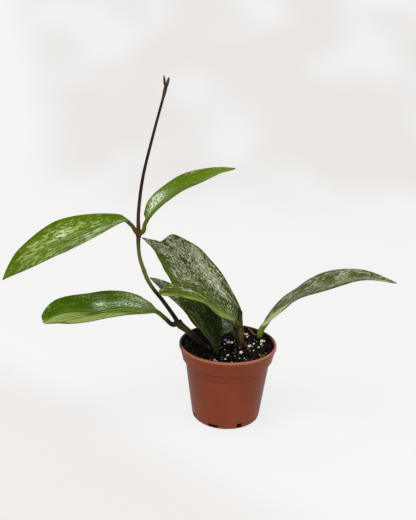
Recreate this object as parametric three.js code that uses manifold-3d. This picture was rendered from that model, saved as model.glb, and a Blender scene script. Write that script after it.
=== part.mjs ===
// Potted hoya: a young climbing plant with eight leaves, in a small round nursery pot.
// Millimetres, +Z up. The origin is the middle of the pot's underside, where it stands.
// The plant climbs to the left, -X, and its one low leaf on the other side points right, +X.
import * as THREE from 'three';
import { mergeVertices } from 'three/addons/utils/BufferGeometryUtils.js';
import Module from 'manifold-3d';

const wasm = await Module();
wasm.setup();

// Pot
const POT_HEIGHT = 66;
const RIM_RADIUS = 40;
const LIP_HEIGHT = 2.8;
const COLLAR_HEIGHT = 12.8;
const COLLAR_TOP_RADIUS = 39.2;
const COLLAR_FOOT_RADIUS = 37.1;
const WALL_TOP_RADIUS = 34.9;
const BASE_RADIUS = 27.8;
const CORNER_RADIUS = 4.2;
const POT_WALL = 1.2;
const LIP_RELIEF = 0.3;
const COLLAR_FOOT = POT_HEIGHT - COLLAR_HEIGHT;
const LIP_FOOT = POT_HEIGHT - LIP_HEIGHT;
const STEP_SLOPE = 1.2;
const LIP_BEVEL = 0.6;
const CORNER_STEPS = 4;
const POT_SIDES = 52;

// Drainage slots round the pot's bottom corner, every other one wide and low
const SLOTS = 8;
const SLOT_FIRST_ANGLE = -112;
const WIDE_SLOT = { width: 8.2, bottom: 1.6, height: 2.8 };
const SQUARE_SLOT = { width: 4.4, bottom: 1.8, height: 4.2 };
const SLOT_DEPTH = 6;
const SLOT_SET_IN = 1;

// Soil
const SOIL_TOP = 63.5;
const SOIL_SIDES = 40;
const SOIL_RINGS = 10;
const SOIL_SWELL = [0.7, 0.5];
const GRAIN_COUNT = 38;
const GRAIN_SEED = 11;
const GRAIN_REACH = 34;
const GRAIN_ROOM = 3;
const SMALL_GRAIN = 1.6;
const GRAIN_SQUASH = 0.8;
const GRAIN_LIFT = 0.15;
const STEM_ROOM = 5.5;

// Clearance between pieces that touch on the real plant
const CLEARANCE = 0.3;
const FACET_ROOM = 0.1;

// Leaves
const BLADE_EDGE = 0.7;
const BLADE_MIDDLE = 1.3;
const TIP_HALF_WIDTH = 0.35;
const BLADE_STATIONS = 20;
const STALK_STATIONS = 5;
const ACROSS = [-1, -0.55, 0, 0.55, 1];
const CURVE_SAMPLES = 240;
const MARGIN_WAVE = 0.5;
const MARGIN_WAVES = 2.2;
const MARGIN_WAVE_LAG = 1.9;
const MARGIN_CURL = 0.05;
const STALK_ARC = 0.92;
const STALK_TO_BLADE = 0.06;

const upright = (geometry) => geometry.rotateX(Math.PI / 2);
const smoothstep = (from, to, value) => THREE.MathUtils.smoothstep(value, from, to);

// A closed geometry as a solid, its faces turned outwards
function toSolid(geometry) {
  const bare = geometry.clone();
  for (const name of Object.keys(bare.attributes)) {
    if (name !== 'position') bare.deleteAttribute(name);
  }
  const merged = mergeVertices(bare, 1e-4);
  const position = merged.attributes.position;
  const index = merged.index.array;
  const corner = (i) => new THREE.Vector3().fromBufferAttribute(position, i);
  const triangles = [];
  let volume = 0;
  for (let i = 0; i < index.length; i += 3) {
    const [a, b, c] = [index[i], index[i + 1], index[i + 2]];
    if (a === b || b === c || c === a) continue;
    triangles.push(a, b, c);
    volume += corner(a).dot(corner(b).cross(corner(c)));
  }
  if (volume < 0) triangles.reverse();
  return new wasm.Manifold(new wasm.Mesh({
    numProp: 3,
    vertProperties: new Float32Array(position.array),
    triVerts: new Uint32Array(triangles),
  }));
}

function toMesh(name, solid, material) {
  const { vertProperties, triVerts } = solid.getMesh();
  const geometry = new THREE.BufferGeometry();
  geometry.setAttribute('position', new THREE.Float32BufferAttribute(vertProperties, 3));
  geometry.setIndex(Array.from(triVerts));
  geometry.computeVertexNormals();
  const mesh = new THREE.Mesh(geometry, material);
  mesh.name = name;
  return mesh;
}

function smoothCurve(points) {
  const knots = points.map((p) => new THREE.Vector3(...p));
  const curve = new THREE.CatmullRomCurve3(knots, false, 'catmullrom', 0.5);
  curve.arcLengthDivisions = CURVE_SAMPLES;
  return curve;
}

// A smooth curve through rows of [place, value, value], read back at any place
function profile(rows) {
  const samples = smoothCurve(rows).getPoints(CURVE_SAMPLES);
  return (place) => {
    const last = samples.length - 1;
    let next = samples.findIndex((sample) => sample.x >= place);
    if (next === -1) next = last;
    if (next === 0) next = 1;
    const before = samples[next - 1];
    const fraction = (place - before.x) / (samples[next].x - before.x);
    return before.clone().lerp(samples[next], THREE.MathUtils.clamp(fraction, 0, 1));
  };
}

// Joins rings of points, each with as many points, into one closed body. The two halves of a ring are
// split into triangles alike, so that a thin waved blade never crosses itself.
function loft(rings) {
  const count = rings[0].length;
  const indices = [];
  for (let i = 0; i < rings.length - 1; i += 1) {
    for (let j = 0; j < count; j += 1) {
      const a = i * count + j;
      const b = i * count + ((j + 1) % count);
      const [c, d] = [b + count, a + count];
      if (j < count / 2) indices.push(a, c, b, a, d, c);
      else indices.push(a, d, b, b, d, c);
    }
  }
  const end = (rings.length - 1) * count;
  for (let j = 1; j < count - 1; j += 1) {
    indices.push(0, j, j + 1);
    indices.push(end, end + j + 1, end + j);
  }
  const geometry = new THREE.BufferGeometry();
  const numbers = rings.flat().flatMap((p) => p.toArray());
  geometry.setAttribute('position', new THREE.Float32BufferAttribute(numbers, 3));
  geometry.setIndex(indices);
  return toSolid(geometry);
}

// A round stem along a smooth curve, its radius given at places from 0 to 1 along it
function stem({ path, radii, sides = 9, step = 4 }, grow = 0) {
  const curve = smoothCurve(path);
  const radiusAt = profile(radii.map(([place, radius]) => [place, radius, 0]));
  const steps = Math.ceil(curve.getLength() / step);
  const { normals, binormals } = curve.computeFrenetFrames(steps, false);
  const rings = [];
  for (let i = 0; i <= steps; i += 1) {
    const centre = curve.getPointAt(i / steps);
    if (i === 0) centre.addScaledVector(curve.getTangentAt(0), -grow);
    const radius = radiusAt(i / steps).y + grow;
    const ring = [];
    for (let j = 0; j < sides; j += 1) {
      const angle = (2 * Math.PI * j) / sides;
      ring.push(centre.clone()
        .addScaledVector(normals[i], radius * Math.cos(angle))
        .addScaledVector(binormals[i], radius * Math.sin(angle)));
    }
    rings.push(ring);
  }
  return loft(rings);
}

// One leaf: a round stalk that widens into a thin blade with a shallow fold along its midrib.
// spine runs from the foot of the stalk to the tip. widths holds [place, left, right] half widths along
// the blade. face is the way its upper side looks, and twist the degrees it turns from that.
function leafSolid({ spine, stalk, stalkRadius = 1.6, widths, face, twist, fold }, grow = 0) {
  const curve = smoothCurve(spine);
  const length = curve.getLength();
  const bladeLength = length - stalk;
  const foot = stalkRadius * 0.7;
  const widthAt = profile([[0, foot, foot], ...widths, [1, TIP_HALF_WIDTH, TIP_HALF_WIDTH]]);
  const places = [];
  for (let i = 0; i < STALK_STATIONS; i += 1) places.push((-stalk / bladeLength) * (1 - i / STALK_STATIONS));
  for (let i = 0; i < BLADE_STATIONS; i += 1) places.push(i / (BLADE_STATIONS - 1));
  const look = new THREE.Vector3(...face);
  const rings = places.map((place) => {
    const along = THREE.MathUtils.clamp((stalk + place * bladeLength) / length, 0, 1);
    const centre = curve.getPointAt(along);
    const tangent = curve.getTangentAt(along);
    if (along === 0) centre.addScaledVector(tangent, -grow);
    const blade = Math.max(place, 0);
    const spot = blade * (twist.length - 1);
    const low = Math.min(Math.floor(spot), twist.length - 2);
    const turn = THREE.MathUtils.lerp(twist[low], twist[low + 1], spot - low);
    const up = look.clone().addScaledVector(tangent, -look.dot(tangent)).normalize()
      .applyAxisAngle(tangent, THREE.MathUtils.degToRad(turn));
    const side = tangent.clone().cross(up);
    const half = widthAt(blade);
    const flat = smoothstep(0, STALK_TO_BLADE, place);
    const point = (across, layer) => {
      const width = (across < 0 ? half.y : half.z) * across;
      const wave = MARGIN_WAVE * across * across * Math.sin(Math.PI * blade)
        * Math.sin(2 * Math.PI * MARGIN_WAVES * blade + (across < 0 ? 0 : MARGIN_WAVE_LAG));
      const rise = Math.abs(width) * (Math.sin(THREE.MathUtils.degToRad(fold)) - MARGIN_CURL * Math.abs(across));
      const thick = (BLADE_EDGE + (BLADE_MIDDLE - BLADE_EDGE) * (1 - Math.abs(across)) ** 2) / 2 + grow;
      const reach = width * Math.cos(THREE.MathUtils.degToRad(fold)) + Math.sign(across) * grow;
      const onBlade = centre.clone().addScaledVector(side, reach).addScaledVector(up, rise + wave + layer * thick);
      const angle = across * STALK_ARC * (Math.PI / 2);
      const onStalk = centre.clone().addScaledVector(side, Math.sin(angle) * (stalkRadius + grow))
        .addScaledVector(up, layer * Math.cos(angle) * (stalkRadius + grow));
      return onStalk.lerp(onBlade, flat);
    };
    const top = ACROSS.map((across) => point(across, 1));
    const bottom = ACROSS.map((across) => point(across, -1)).reverse();
    return [...top, ...bottom];
  });
  return loft(rings);
}

// The pot's outer outline from the middle of its underside up to the rim, as [radius, height]
function potProfile() {
  const outline = [[0, 0]];
  for (let i = 0; i <= CORNER_STEPS; i += 1) {
    const angle = (i / CORNER_STEPS) * (Math.PI / 2);
    outline.push([
      BASE_RADIUS - CORNER_RADIUS + CORNER_RADIUS * Math.sin(angle),
      CORNER_RADIUS * (1 - Math.cos(angle)),
    ]);
  }
  outline.push([WALL_TOP_RADIUS, COLLAR_FOOT - STEP_SLOPE]);
  outline.push([COLLAR_FOOT_RADIUS, COLLAR_FOOT]);
  outline.push([COLLAR_TOP_RADIUS, LIP_FOOT - LIP_BEVEL]);
  outline.push([RIM_RADIUS, LIP_FOOT]);
  outline.push([RIM_RADIUS, POT_HEIGHT - LIP_BEVEL]);
  outline.push([RIM_RADIUS - LIP_BEVEL, POT_HEIGHT]);
  return outline;
}

// The same outline set in by the pot's wall, from the rim down to the middle of the floor
function potInside(inset) {
  const corner = CORNER_RADIUS - POT_WALL;
  const inside = [
    [COLLAR_TOP_RADIUS - inset + LIP_RELIEF, POT_HEIGHT],
    [COLLAR_FOOT_RADIUS - inset, COLLAR_FOOT + STEP_SLOPE],
    [WALL_TOP_RADIUS - inset, COLLAR_FOOT - STEP_SLOPE],
  ];
  for (let i = CORNER_STEPS; i >= 0; i -= 1) {
    const angle = (i / CORNER_STEPS) * (Math.PI / 2);
    inside.push([BASE_RADIUS - inset - corner * (1 - Math.sin(angle)), inset + corner * (1 - Math.cos(angle))]);
  }
  inside.push([0, inset]);
  return inside;
}

const lathe = (points, sides) =>
  upright(new THREE.LatheGeometry(points.map((p) => new THREE.Vector2(...p)), sides));

function pot() {
  let solid = toSolid(lathe([...potProfile(), ...potInside(POT_WALL)], POT_SIDES));
  for (let i = 0; i < SLOTS; i += 1) {
    const slot = i % 2 === 0 ? WIDE_SLOT : SQUARE_SLOT;
    const box = new THREE.BoxGeometry(SLOT_DEPTH, slot.width, slot.height);
    box.translate(BASE_RADIUS - SLOT_SET_IN, 0, slot.bottom + slot.height / 2);
    box.rotateZ(THREE.MathUtils.degToRad(SLOT_FIRST_ANGLE + (360 / SLOTS) * i));
    solid = solid.subtract(toSolid(box));
  }
  return solid;
}

// Height of the soil's lumpy top over a point of the pot
function soilHeight(x, y) {
  return SOIL_TOP
    + SOIL_SWELL[0] * Math.sin(x / 5.1 + 1) * Math.cos(y / 4.3)
    + SOIL_SWELL[1] * Math.sin(x / 2.7 - y / 3.1);
}

// The inside radius of the pot at a height
function insideRadius(z, inset) {
  const rows = potInside(inset);
  const next = rows.findIndex((row) => row[1] <= z);
  const [above, below] = [rows[next - 1], rows[next]];
  return THREE.MathUtils.mapLinear(z, below[1], above[1], below[0], above[0]);
}

// Repeatable numbers from 0 to 1
function seeded(seed) {
  let state = seed;
  return () => {
    state = (state * 16807) % 2147483647;
    return state / 2147483647;
  };
}

// Perlite grains and bark crumbs that stand out of the soil: the plainest ones at their own places,
// [x, y, length, height], and the rest scattered, clear of the stems
const PLAIN_GRAINS = [
  [18, -1.5, 3.4, 2.4],
  [28.2, 5.2, 2.2, 4.4],
  [10.3, -15.4, 3, 2.6],
  [-0.4, -21.2, 2.8, 2.4],
  [0.7, 4.4, 3.6, 2.6],
  [3.4, 1.4, 2.6, 2.2],
  [16.3, 24, 3, 2.4],
  [16.7, 14.2, 2.6, 2.2],
  [-10.8, -28.4, 2.4, 2],
  [27, -18.4, 2.8, 2],
];
const STEM_SPOTS = [[-17, -11], [11.5, -1], [27.3, 16.5], [-8.6, -19]];

function grainPlaces() {
  const random = seeded(GRAIN_SEED);
  const places = [...PLAIN_GRAINS];
  while (places.length < GRAIN_COUNT) {
    const angle = random() * 2 * Math.PI;
    const radius = GRAIN_REACH * Math.sqrt(random());
    const [x, y] = [radius * Math.cos(angle), radius * Math.sin(angle)];
    const length = SMALL_GRAIN * (1 + random());
    const clear = STEM_SPOTS.every(([sx, sy]) => Math.hypot(x - sx, y - sy) > STEM_ROOM);
    const apart = places.every(([px, py]) => Math.hypot(x - px, y - py) > GRAIN_ROOM);
    if (clear && apart) places.push([x, y, length, length * GRAIN_SQUASH]);
  }
  return places;
}

function soil(holes) {
  const inset = POT_WALL + CLEARANCE + FACET_ROOM;
  const edge = insideRadius(SOIL_TOP - SOIL_SWELL[0] - SOIL_SWELL[1], inset);
  const outline = potInside(inset).filter((row) => row[1] < SOIL_TOP - 2).reverse();
  for (let i = 0; i <= SOIL_RINGS; i += 1) outline.push([edge * (1 - i / SOIL_RINGS), SOIL_TOP]);
  const geometry = lathe(outline, SOIL_SIDES);
  const position = geometry.attributes.position;
  for (let i = 0; i < position.count; i += 1) {
    const onTop = position.getZ(i) > SOIL_TOP - 0.01;
    if (onTop) position.setZ(i, soilHeight(position.getX(i), position.getY(i)));
  }
  let solid = toSolid(geometry);
  for (const [x, y, length, height] of grainPlaces()) {
    const grain = new THREE.IcosahedronGeometry(0.5, 0);
    grain.rotateZ(x * 1.3).rotateX(y);
    grain.scale(length, length * GRAIN_SQUASH, height);
    grain.translate(x, y, soilHeight(x, y) + height * GRAIN_LIFT);
    solid = solid.add(toSolid(grain));
  }
  for (const hole of holes) solid = solid.subtract(hole);
  return solid;
}

// The left cutting and its vine are one stem: up out of the soil to the lower node, along the vine to
// the upper node, and on as a thin dark whip
const LEFT_STEM = {
  path: [
    [-4, -12, 40], [-8, -12.5, 52], [-18.5, -10.5, 64.5], [-31, -7, 76.4], [-41, -3.2, 83], [-43.3, -2.4, 87],
    [-49.5, -1, 95.5], [-55.6, 0, 103.5], [-61.1, 1, 110], [-66.1, 2, 117.5], [-69.6, 3, 126], [-72.8, 3, 136.5],
    [-73.8, 2, 148], [-73.4, 0, 157], [-73.2, -2, 175.5], [-69.5, -4, 204], [-61.8, -3, 236.5],
    [-54.8, 1, 263.5], [-53, 2, 272],
  ],
  radii: [
    [0, 2.4], [0.17, 2.6], [0.22, 2.7], [0.255, 1.9], [0.36, 1.75], [0.5, 1.7], [0.54, 2.1], [0.57, 1.6],
    [0.66, 1.2], [0.82, 1], [0.95, 0.9], [0.98, 1.2], [1, 1],
  ],
};
// What stands off the left stem: the stub of a cut leaf stalk at the lower node, a bud on the vine, and
// the two smallest leaves of the plant at the end of the whip
const LEFT_STEM_STUBS = [
  {
    path: [[-40.9, -2.8, 83.2], [-39.4, -2.5, 84.3], [-38.2, -2.2, 85.2]],
    radii: [[0, 2.1], [0.5, 2], [1, 1.5]],
    step: 1.5,
  },
  { path: [[-66.4, 2, 118], [-68.4, 1.4, 119.6]], radii: [[0, 1.4], [1, 0.6]], step: 1 },
];
const WHIP_LEAVES = [
  {
    path: [[-53, 2, 270.5], [-54, 2, 275], [-54.6, 2, 279.6]],
    radii: [[0, 0.8], [0.4, 0.9], [1, 0.25]],
    sides: 6,
    step: 2,
  },
  {
    path: [[-53, 2, 270.5], [-52, 2.6, 274], [-50.8, 3, 278]],
    radii: [[0, 0.8], [0.4, 0.9], [1, 0.25]],
    sides: 6,
    step: 2,
  },
];

// The middle cutting, a short bare stem cut off at a slant
const CENTRE_STEM = {
  path: [[11.2, -3, 38], [11.4, -2.5, 52], [11.1, -1, 64], [10.2, 0.5, 73], [9.5, 2, 82], [9.1, 4, 98]],
  radii: [[0, 2.3], [0.3, 2.4], [0.55, 2.5], [0.68, 2.6], [0.8, 2.1], [1, 1.9]],
};
const SLANT_CUT = { point: [9.2, 3.2, 93.6], facing: [0.66, -0.1, 0.75], block: 30 };

const LEAVES = [
  {
    name: 'leaf_upper_left',
    holder: 'left_stem',
    spine: [
      [-73.4, 0, 157], [-75.8, -1, 159.7], [-79, -3.5, 165.1], [-85.5, -7.5, 170.2], [-101, -14, 167],
      [-130, -20, 156], [-154, -26, 142], [-174, -32, 127],
    ],
    stalk: 13,
    widths: [
      [0.04, 4.5, 4.5], [0.1, 8.3, 8.3], [0.235, 13.5, 14], [0.425, 16.5, 17.8], [0.615, 16.6, 18.9],
      [0.81, 12.2, 14.8], [0.935, 5.3, 7.1],
    ],
    face: [-0.2, -0.5, 0.85],
    twist: [11, -3, 12],
    fold: 14,
  },
  {
    name: 'leaf_upper_right',
    holder: 'left_stem',
    spine: [
      [-73.4, 0, 157], [-69.5, 0.5, 159.5], [-67.8, 2.5, 166], [-58.5, 10, 179], [-43, 20, 189], [-19, 29, 199],
      [2, 38, 203.6],
    ],
    stalk: 12,
    widths: [
      [0.04, 6, 5], [0.1, 9, 7.4], [0.2, 13.3, 11.4], [0.4, 17, 15.6], [0.6, 17, 15.6], [0.8, 13, 11], [0.93, 6.5, 5],
    ],
    face: [-0.3, -0.2, 0.93],
    twist: [-6, -2, -5],
    fold: 14,
  },
  {
    name: 'leaf_lower_left',
    holder: 'left_stem',
    spine: [
      [-41.5, -3, 83], [-46.1, -4, 82.4], [-51.6, -6, 88.3], [-58, -9, 94.9], [-66.8, -12.5, 98.4],
      [-85, -18, 102.5], [-107, -28, 102.5], [-129, -36, 102], [-141.7, -44, 97.6],
    ],
    stalk: 21,
    stalkRadius: 1.8,
    widths: [
      [0.035, 6, 8], [0.08, 8.6, 11.4], [0.2, 13.7, 15.8], [0.4, 18, 18.2], [0.6, 16, 17], [0.8, 13, 14],
      [0.93, 8.4, 8.8], [0.975, 5.2, 6.6],
    ],
    face: [-0.2, -0.4, 0.89],
    twist: [16, 1, -20],
    fold: 14,
  },
  {
    name: 'leaf_centre_back',
    holder: 'centre_stem',
    spine: [
      [9.9, 1, 76], [6, 5.5, 79.5], [-1, 12, 88], [-17, 20, 103], [-33, 25, 116.5], [-46.5, 28, 131.5],
      [-60, 29.5, 138], [-73.5, 30.5, 145],
    ],
    stalk: 9,
    widths: [
      [0.03, 5, 7.5], [0.1, 9.5, 11.8], [0.22, 15.5, 15.2], [0.4, 20.5, 19.6], [0.6, 17.5, 21], [0.72, 16.8, 17],
      [0.8, 12.8, 15], [0.855, 7, 5.5], [0.89, 5, 4.5], [0.94, 3, 2.5],
    ],
    face: [0.3, -0.8, 0.5],
    twist: [-7, -15, -2, 29],
    fold: 8,
  },
  {
    name: 'leaf_centre_front',
    holder: 'centre_stem',
    spine: [
      [9.2, 1.8, 80.5], [5.5, -4, 87], [0, -9, 93], [-12, -20, 104], [-26, -31, 117], [-39, -42, 124],
      [-53, -54, 127],
    ],
    stalk: 11,
    widths: [[0.06, 7, 7], [0.2, 12, 12], [0.4, 15, 15], [0.6, 15, 15], [0.8, 11, 11], [0.93, 5.5, 5.5]],
    face: [-0.1, -0.3, 0.95],
    twist: [-19, -7, -2],
    fold: 12,
  },
  {
    name: 'leaf_shaded',
    holder: 'soil',
    spine: [
      [-5.5, -17, 46], [-7.5, -19.5, 56], [-8.6, -19, 63.5], [-13, -14.8, 78.5], [-20, -9, 92], [-30, -5, 104],
      [-43, -2, 109],
    ],
    stalk: 20,
    widths: [[0.06, 7, 7], [0.2, 12.6, 12], [0.4, 15.8, 15], [0.6, 15.6, 15], [0.8, 11, 11], [0.93, 4.5, 4.5]],
    face: [0.3, -0.8, 0.5],
    twist: [53, 22, 9],
    fold: 12,
  },
  {
    name: 'leaf_silver_low',
    holder: 'centre_stem',
    spine: [
      [11, -0.2, 68], [6, 2.5, 70.5], [0, 3.5, 76.5], [-16, 3.5, 82], [-36, 4, 99], [-50, 4.5, 109],
      [-65, 7.5, 118],
    ],
    stalk: 10,
    widths: [[0.06, 5.5, 7.5], [0.2, 9.5, 11], [0.4, 11.8, 11], [0.6, 11.2, 11], [0.8, 8.2, 8.2], [0.93, 4.6, 4.6]],
    face: [0.1, -0.8, 0.6],
    twist: [-28, 28, 48],
    fold: 12,
  },
  {
    name: 'leaf_right',
    holder: 'soil',
    spine: [
      [24, 12, 43], [26.5, 15.5, 56], [28, 17, 70], [36, 15, 82.5], [50, 10, 99], [66, 4, 113],
      [101, -1, 126], [132, -5, 123.5],
    ],
    stalk: 30,
    stalkRadius: 2.5,
    widths: [
      [0.05, 8.3, 7.2], [0.2, 15.3, 12.5], [0.4, 15.3, 15.3], [0.6, 16.6, 17], [0.8, 11.9, 11], [0.93, 5.5, 4.5],
    ],
    face: [-0.3, -0.1, 0.95],
    twist: [-3, 0, -8],
    fold: 12,
  },
];

function leftStem() {
  let solid = stem(LEFT_STEM);
  for (const part of [...LEFT_STEM_STUBS, ...WHIP_LEAVES]) solid = solid.add(stem(part));
  return solid;
}

// A large block that starts at the slanted cut and takes away what is above it
function slantTool() {
  const box = new THREE.BoxGeometry(SLANT_CUT.block, SLANT_CUT.block, SLANT_CUT.block);
  box.translate(0, 0, SLANT_CUT.block / 2);
  const facing = new THREE.Vector3(...SLANT_CUT.facing).normalize();
  box.applyQuaternion(new THREE.Quaternion().setFromUnitVectors(new THREE.Vector3(0, 0, 1), facing));
  return toSolid(box.translate(...SLANT_CUT.point));
}

function finish(color, roughness) {
  return new THREE.MeshStandardMaterial({ color: new THREE.Color(...color), roughness, metalness: 0 });
}

const terracottaPlastic = finish([0.22, 0.052, 0.028], 0.45);
const peat = finish([0.018, 0.012, 0.009], 0.95);
const olivePeel = finish([0.075, 0.085, 0.02], 0.55);
const driedPeel = finish([0.11, 0.08, 0.035], 0.7);
const brightLeaf = finish([0.1, 0.22, 0.02], 0.35);
const darkLeaf = finish([0.035, 0.11, 0.015], 0.35);
const silverLeaf = finish([0.2, 0.27, 0.13], 0.4);
const LEAF_FINISH = {
  leaf_upper_left: brightLeaf,
  leaf_upper_right: brightLeaf,
  leaf_lower_left: darkLeaf,
  leaf_centre_back: silverLeaf,
  leaf_centre_front: brightLeaf,
  leaf_shaded: darkLeaf,
  leaf_silver_low: silverLeaf,
  leaf_right: silverLeaf,
};

// A leaf stalk on a stem is cut back to a saddle round it, and one in the soil stands in a plain hole
const saddles = { left_stem: stem(LEFT_STEM, CLEARANCE), centre_stem: stem(CENTRE_STEM, CLEARANCE) };
const holes = [saddles.left_stem, saddles.centre_stem];
const group = new THREE.Group();
for (const leaf of LEAVES) {
  let solid = leafSolid(leaf);
  if (leaf.holder === 'soil') holes.push(leafSolid(leaf, CLEARANCE));
  else solid = solid.subtract(saddles[leaf.holder]);
  group.add(toMesh(leaf.name, solid, LEAF_FINISH[leaf.name]));
}
group.add(toMesh('left_stem', leftStem(), olivePeel));
group.add(toMesh('centre_stem', stem(CENTRE_STEM).subtract(slantTool()), driedPeel));
group.add(toMesh('soil', soil(holes), peat));
group.add(toMesh('pot', pot(), terracottaPlastic));

export default group;
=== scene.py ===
# Potted hoya: a young climbing plant with eight leaves, in a small round nursery pot full of peat.
# Metres, +Z up. The pot stands on the origin, and the vine climbs to the left, towards -X.
import math

import bmesh
import bpy
import numpy as np
from mathutils import Matrix, Vector, noise


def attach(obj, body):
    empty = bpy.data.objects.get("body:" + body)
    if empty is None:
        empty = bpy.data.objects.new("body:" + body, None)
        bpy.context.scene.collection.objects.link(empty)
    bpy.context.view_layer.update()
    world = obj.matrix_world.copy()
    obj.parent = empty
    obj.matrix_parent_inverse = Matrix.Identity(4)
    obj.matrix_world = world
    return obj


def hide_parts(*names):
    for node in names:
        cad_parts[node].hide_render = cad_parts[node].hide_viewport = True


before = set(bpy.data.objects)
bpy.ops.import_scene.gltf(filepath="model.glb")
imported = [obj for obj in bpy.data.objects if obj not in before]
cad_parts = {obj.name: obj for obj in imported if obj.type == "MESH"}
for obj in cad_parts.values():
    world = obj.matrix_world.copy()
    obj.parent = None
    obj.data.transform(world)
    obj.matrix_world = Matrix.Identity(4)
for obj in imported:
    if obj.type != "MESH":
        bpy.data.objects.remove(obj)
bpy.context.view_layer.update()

# Camera: it stands in front of the pot and a little to its left, and looks down on the plant by
# 18 degrees. Its lens gives the framing of the photograph, 416 by 520.
camera_data = bpy.data.cameras.new("Camera")
camera_data.lens = 54.35
camera_data.sensor_width = 36.0
camera_data.clip_start = 0.05
camera_data.clip_end = 20.0
camera = bpy.data.objects.new("Camera", camera_data)
camera_place = Vector((-0.0182, -0.5938, 0.3297))
camera_right = Vector((0.9996, 0.0084, 0.0257))
camera_up = Vector((-0.0270, 0.3089, 0.9507))
camera_back = Vector((0.0, -0.9511, 0.3090))
camera_turn = Matrix((camera_right, camera_up, camera_back)).transposed().to_4x4()
camera.matrix_world = Matrix.Translation(camera_place) @ camera_turn
bpy.context.scene.collection.objects.link(camera)
bpy.context.scene.camera = camera

# Pot: one thin moulding of terracotta-coloured plastic, with a lip, a stepped collar, a tapered wall
# and drainage slots round its bottom corner. It is turned from its outline, and the slots are cut in.
MM = 0.001
POT_FLOOR = 1.2
POT_OUTLINE = [  # radius, height and rounding: up the outside from its foot, over the rim and down inside
    (27.8, 0.0, 4.4), (34.9, 52.0, 0.9), (37.1, 53.2, 0.7), (39.2, 62.6, 0.5), (40.0, 63.3, 0.3),
    (40.0, 66.0, 0.75), (38.45, 66.0, 0.45), (35.9, 54.2, 1.2), (33.7, 52.0, 1.2), (26.6, POT_FLOOR, 3.2),
]
POT_SIDES = 176
POT_LONGEST_EDGE = 5.0
CORNER_STEPS = 5
SHADE_AND_STAIN_REACH = 65.4  # how high the inside is darkened with painted shade and soil stain
SLOTS_OF_A_KIND = 4
SLOT_RING = 26.8
SLOTS = [  # angle of the first, its size, and the height of its middle
    (-112.0, (6.0, 8.2, 2.8), 3.0),
    (-67.0, (6.0, 4.4, 4.2), 3.9),
]
# the colour of the painted shade with peat dust on the back of the rim
SHADED_PEAT_BROWN = (0.014, 0.006, 0.004)
COLLAR_FOOT = 0.0517  # these two heights are in metres, as the material reads them
FAINT_SHADE_RING = 0.0462


def rounded(outline, first, last):
    """An outline of (radius, height, rounding) with its corners turned into arcs."""
    corners = [Vector(first)] + [Vector(p[:2]) for p in outline] + [Vector(last)]
    made = [corners[0]]
    for i, (_, _, radius) in enumerate(outline, 1):
        before, corner, after = corners[i - 1], corners[i], corners[i + 1]
        into, out = (before - corner).normalized(), (after - corner).normalized()
        half = into.angle(out) / 2
        room = min(0.45 * (before - corner).length, 0.45 * (after - corner).length)
        reach = min(radius / math.tan(half), room)
        start, end = corner + into * reach, corner + out * reach
        for k in range(CORNER_STEPS + 1):
            t = k / CORNER_STEPS
            made.append(start * (1 - t) ** 2 + corner * 2 * t * (1 - t) + end * t**2)
    made.append(corners[-1])
    return [(p.x, p.y) for p in made]


def refined(points, longest):
    """The same outline with its long runs divided, so that no edge is longer than that."""
    made = [points[0]]
    for (r0, z0), (r1, z1) in zip(points, points[1:]):
        parts = max(1, math.ceil(math.hypot(r1 - r0, z1 - z0) / longest))
        made += [(r0 + (r1 - r0) * k / parts, z0 + (z1 - z0) * k / parts) for k in range(1, parts + 1)]
    return made


def turned(outline, sides):
    """Vertices and faces of an outline in millimetres turned round the upright axis, closed at both poles."""
    rows = outline[1:-1]
    angles = [2 * math.pi * j / sides for j in range(sides)]
    verts = [(r * math.cos(a) * MM, r * math.sin(a) * MM, z * MM) for r, z in rows for a in angles]
    faces = []
    for i in range(len(rows) - 1):
        for j in range(sides):
            a, b = i * sides + j, i * sides + (j + 1) % sides
            faces.append((a, b, b + sides, a + sides))
    foot, top = len(verts), len(verts) + 1
    verts += [(0, 0, outline[0][1] * MM), (0, 0, outline[-1][1] * MM)]
    last = (len(rows) - 1) * sides
    for j in range(sides):
        faces.append((foot, (j + 1) % sides, j))
        faces.append((top, last + j, last + (j + 1) % sides))
    return verts, faces


def new_piece(name, verts, faces):
    """A smooth-shaded mesh object in the scene, its place in its mesh."""
    mesh = bpy.data.meshes.new(name)
    mesh.from_pydata(verts, [], faces)
    mesh.polygons.foreach_set("use_smooth", [True] * len(mesh.polygons))
    mesh.update()
    piece = bpy.data.objects.new(name, mesh)
    bpy.context.scene.collection.objects.link(piece)
    return piece


def new_material(name, roughness, specular, gloss=(1.0, 1.0, 1.0)):
    """A material with its node tree and its Principled shader. gloss is the colour of its highlights."""
    material = bpy.data.materials.new(name)
    material.use_nodes = True
    shader = material.node_tree.nodes["Principled BSDF"]
    shader.inputs["Roughness"].default_value = roughness
    shader.inputs["Specular IOR Level"].default_value = specular
    shader.inputs["Specular Tint"].default_value = (*gloss, 1.0)
    return material, material.node_tree, shader


class Value:
    """An output of a node. In a sum it works like a number, and each step of the sum adds a Math node."""

    def __init__(self, tree, socket):
        self.tree = tree
        self.socket = socket

    def math(self, operation, other=0.0):
        return put(self.tree, "ShaderNodeMath", {0: self, 1: other}, operation=operation)

    def __add__(self, other):
        return self.math("ADD", other)

    def __sub__(self, other):
        return self.math("SUBTRACT", other)

    def __mul__(self, other):
        return self.math("MULTIPLY", other)

    def __abs__(self):
        return self.math("ABSOLUTE")

    def feed(self, socket):
        self.tree.links.new(self.socket, socket)


def put(tree, kind, inputs=None, output=0, **settings):
    """Adds a node, sets its inputs from plain values or other nodes, and gives back one of its outputs."""
    made = tree.nodes.new(kind)
    for key, setting in settings.items():
        setattr(made, key, setting)
    for key, given in (inputs or {}).items():
        if isinstance(given, Value):
            given.feed(made.inputs[key])
        else:
            made.inputs[key].default_value = given
    return Value(tree, made.outputs[output])


def three_parts(vector):
    """X, Y and Z of a vector."""
    made = put(vector.tree, "ShaderNodeSeparateXYZ", {0: vector})
    return [Value(made.tree, socket) for socket in made.socket.node.outputs]


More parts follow.
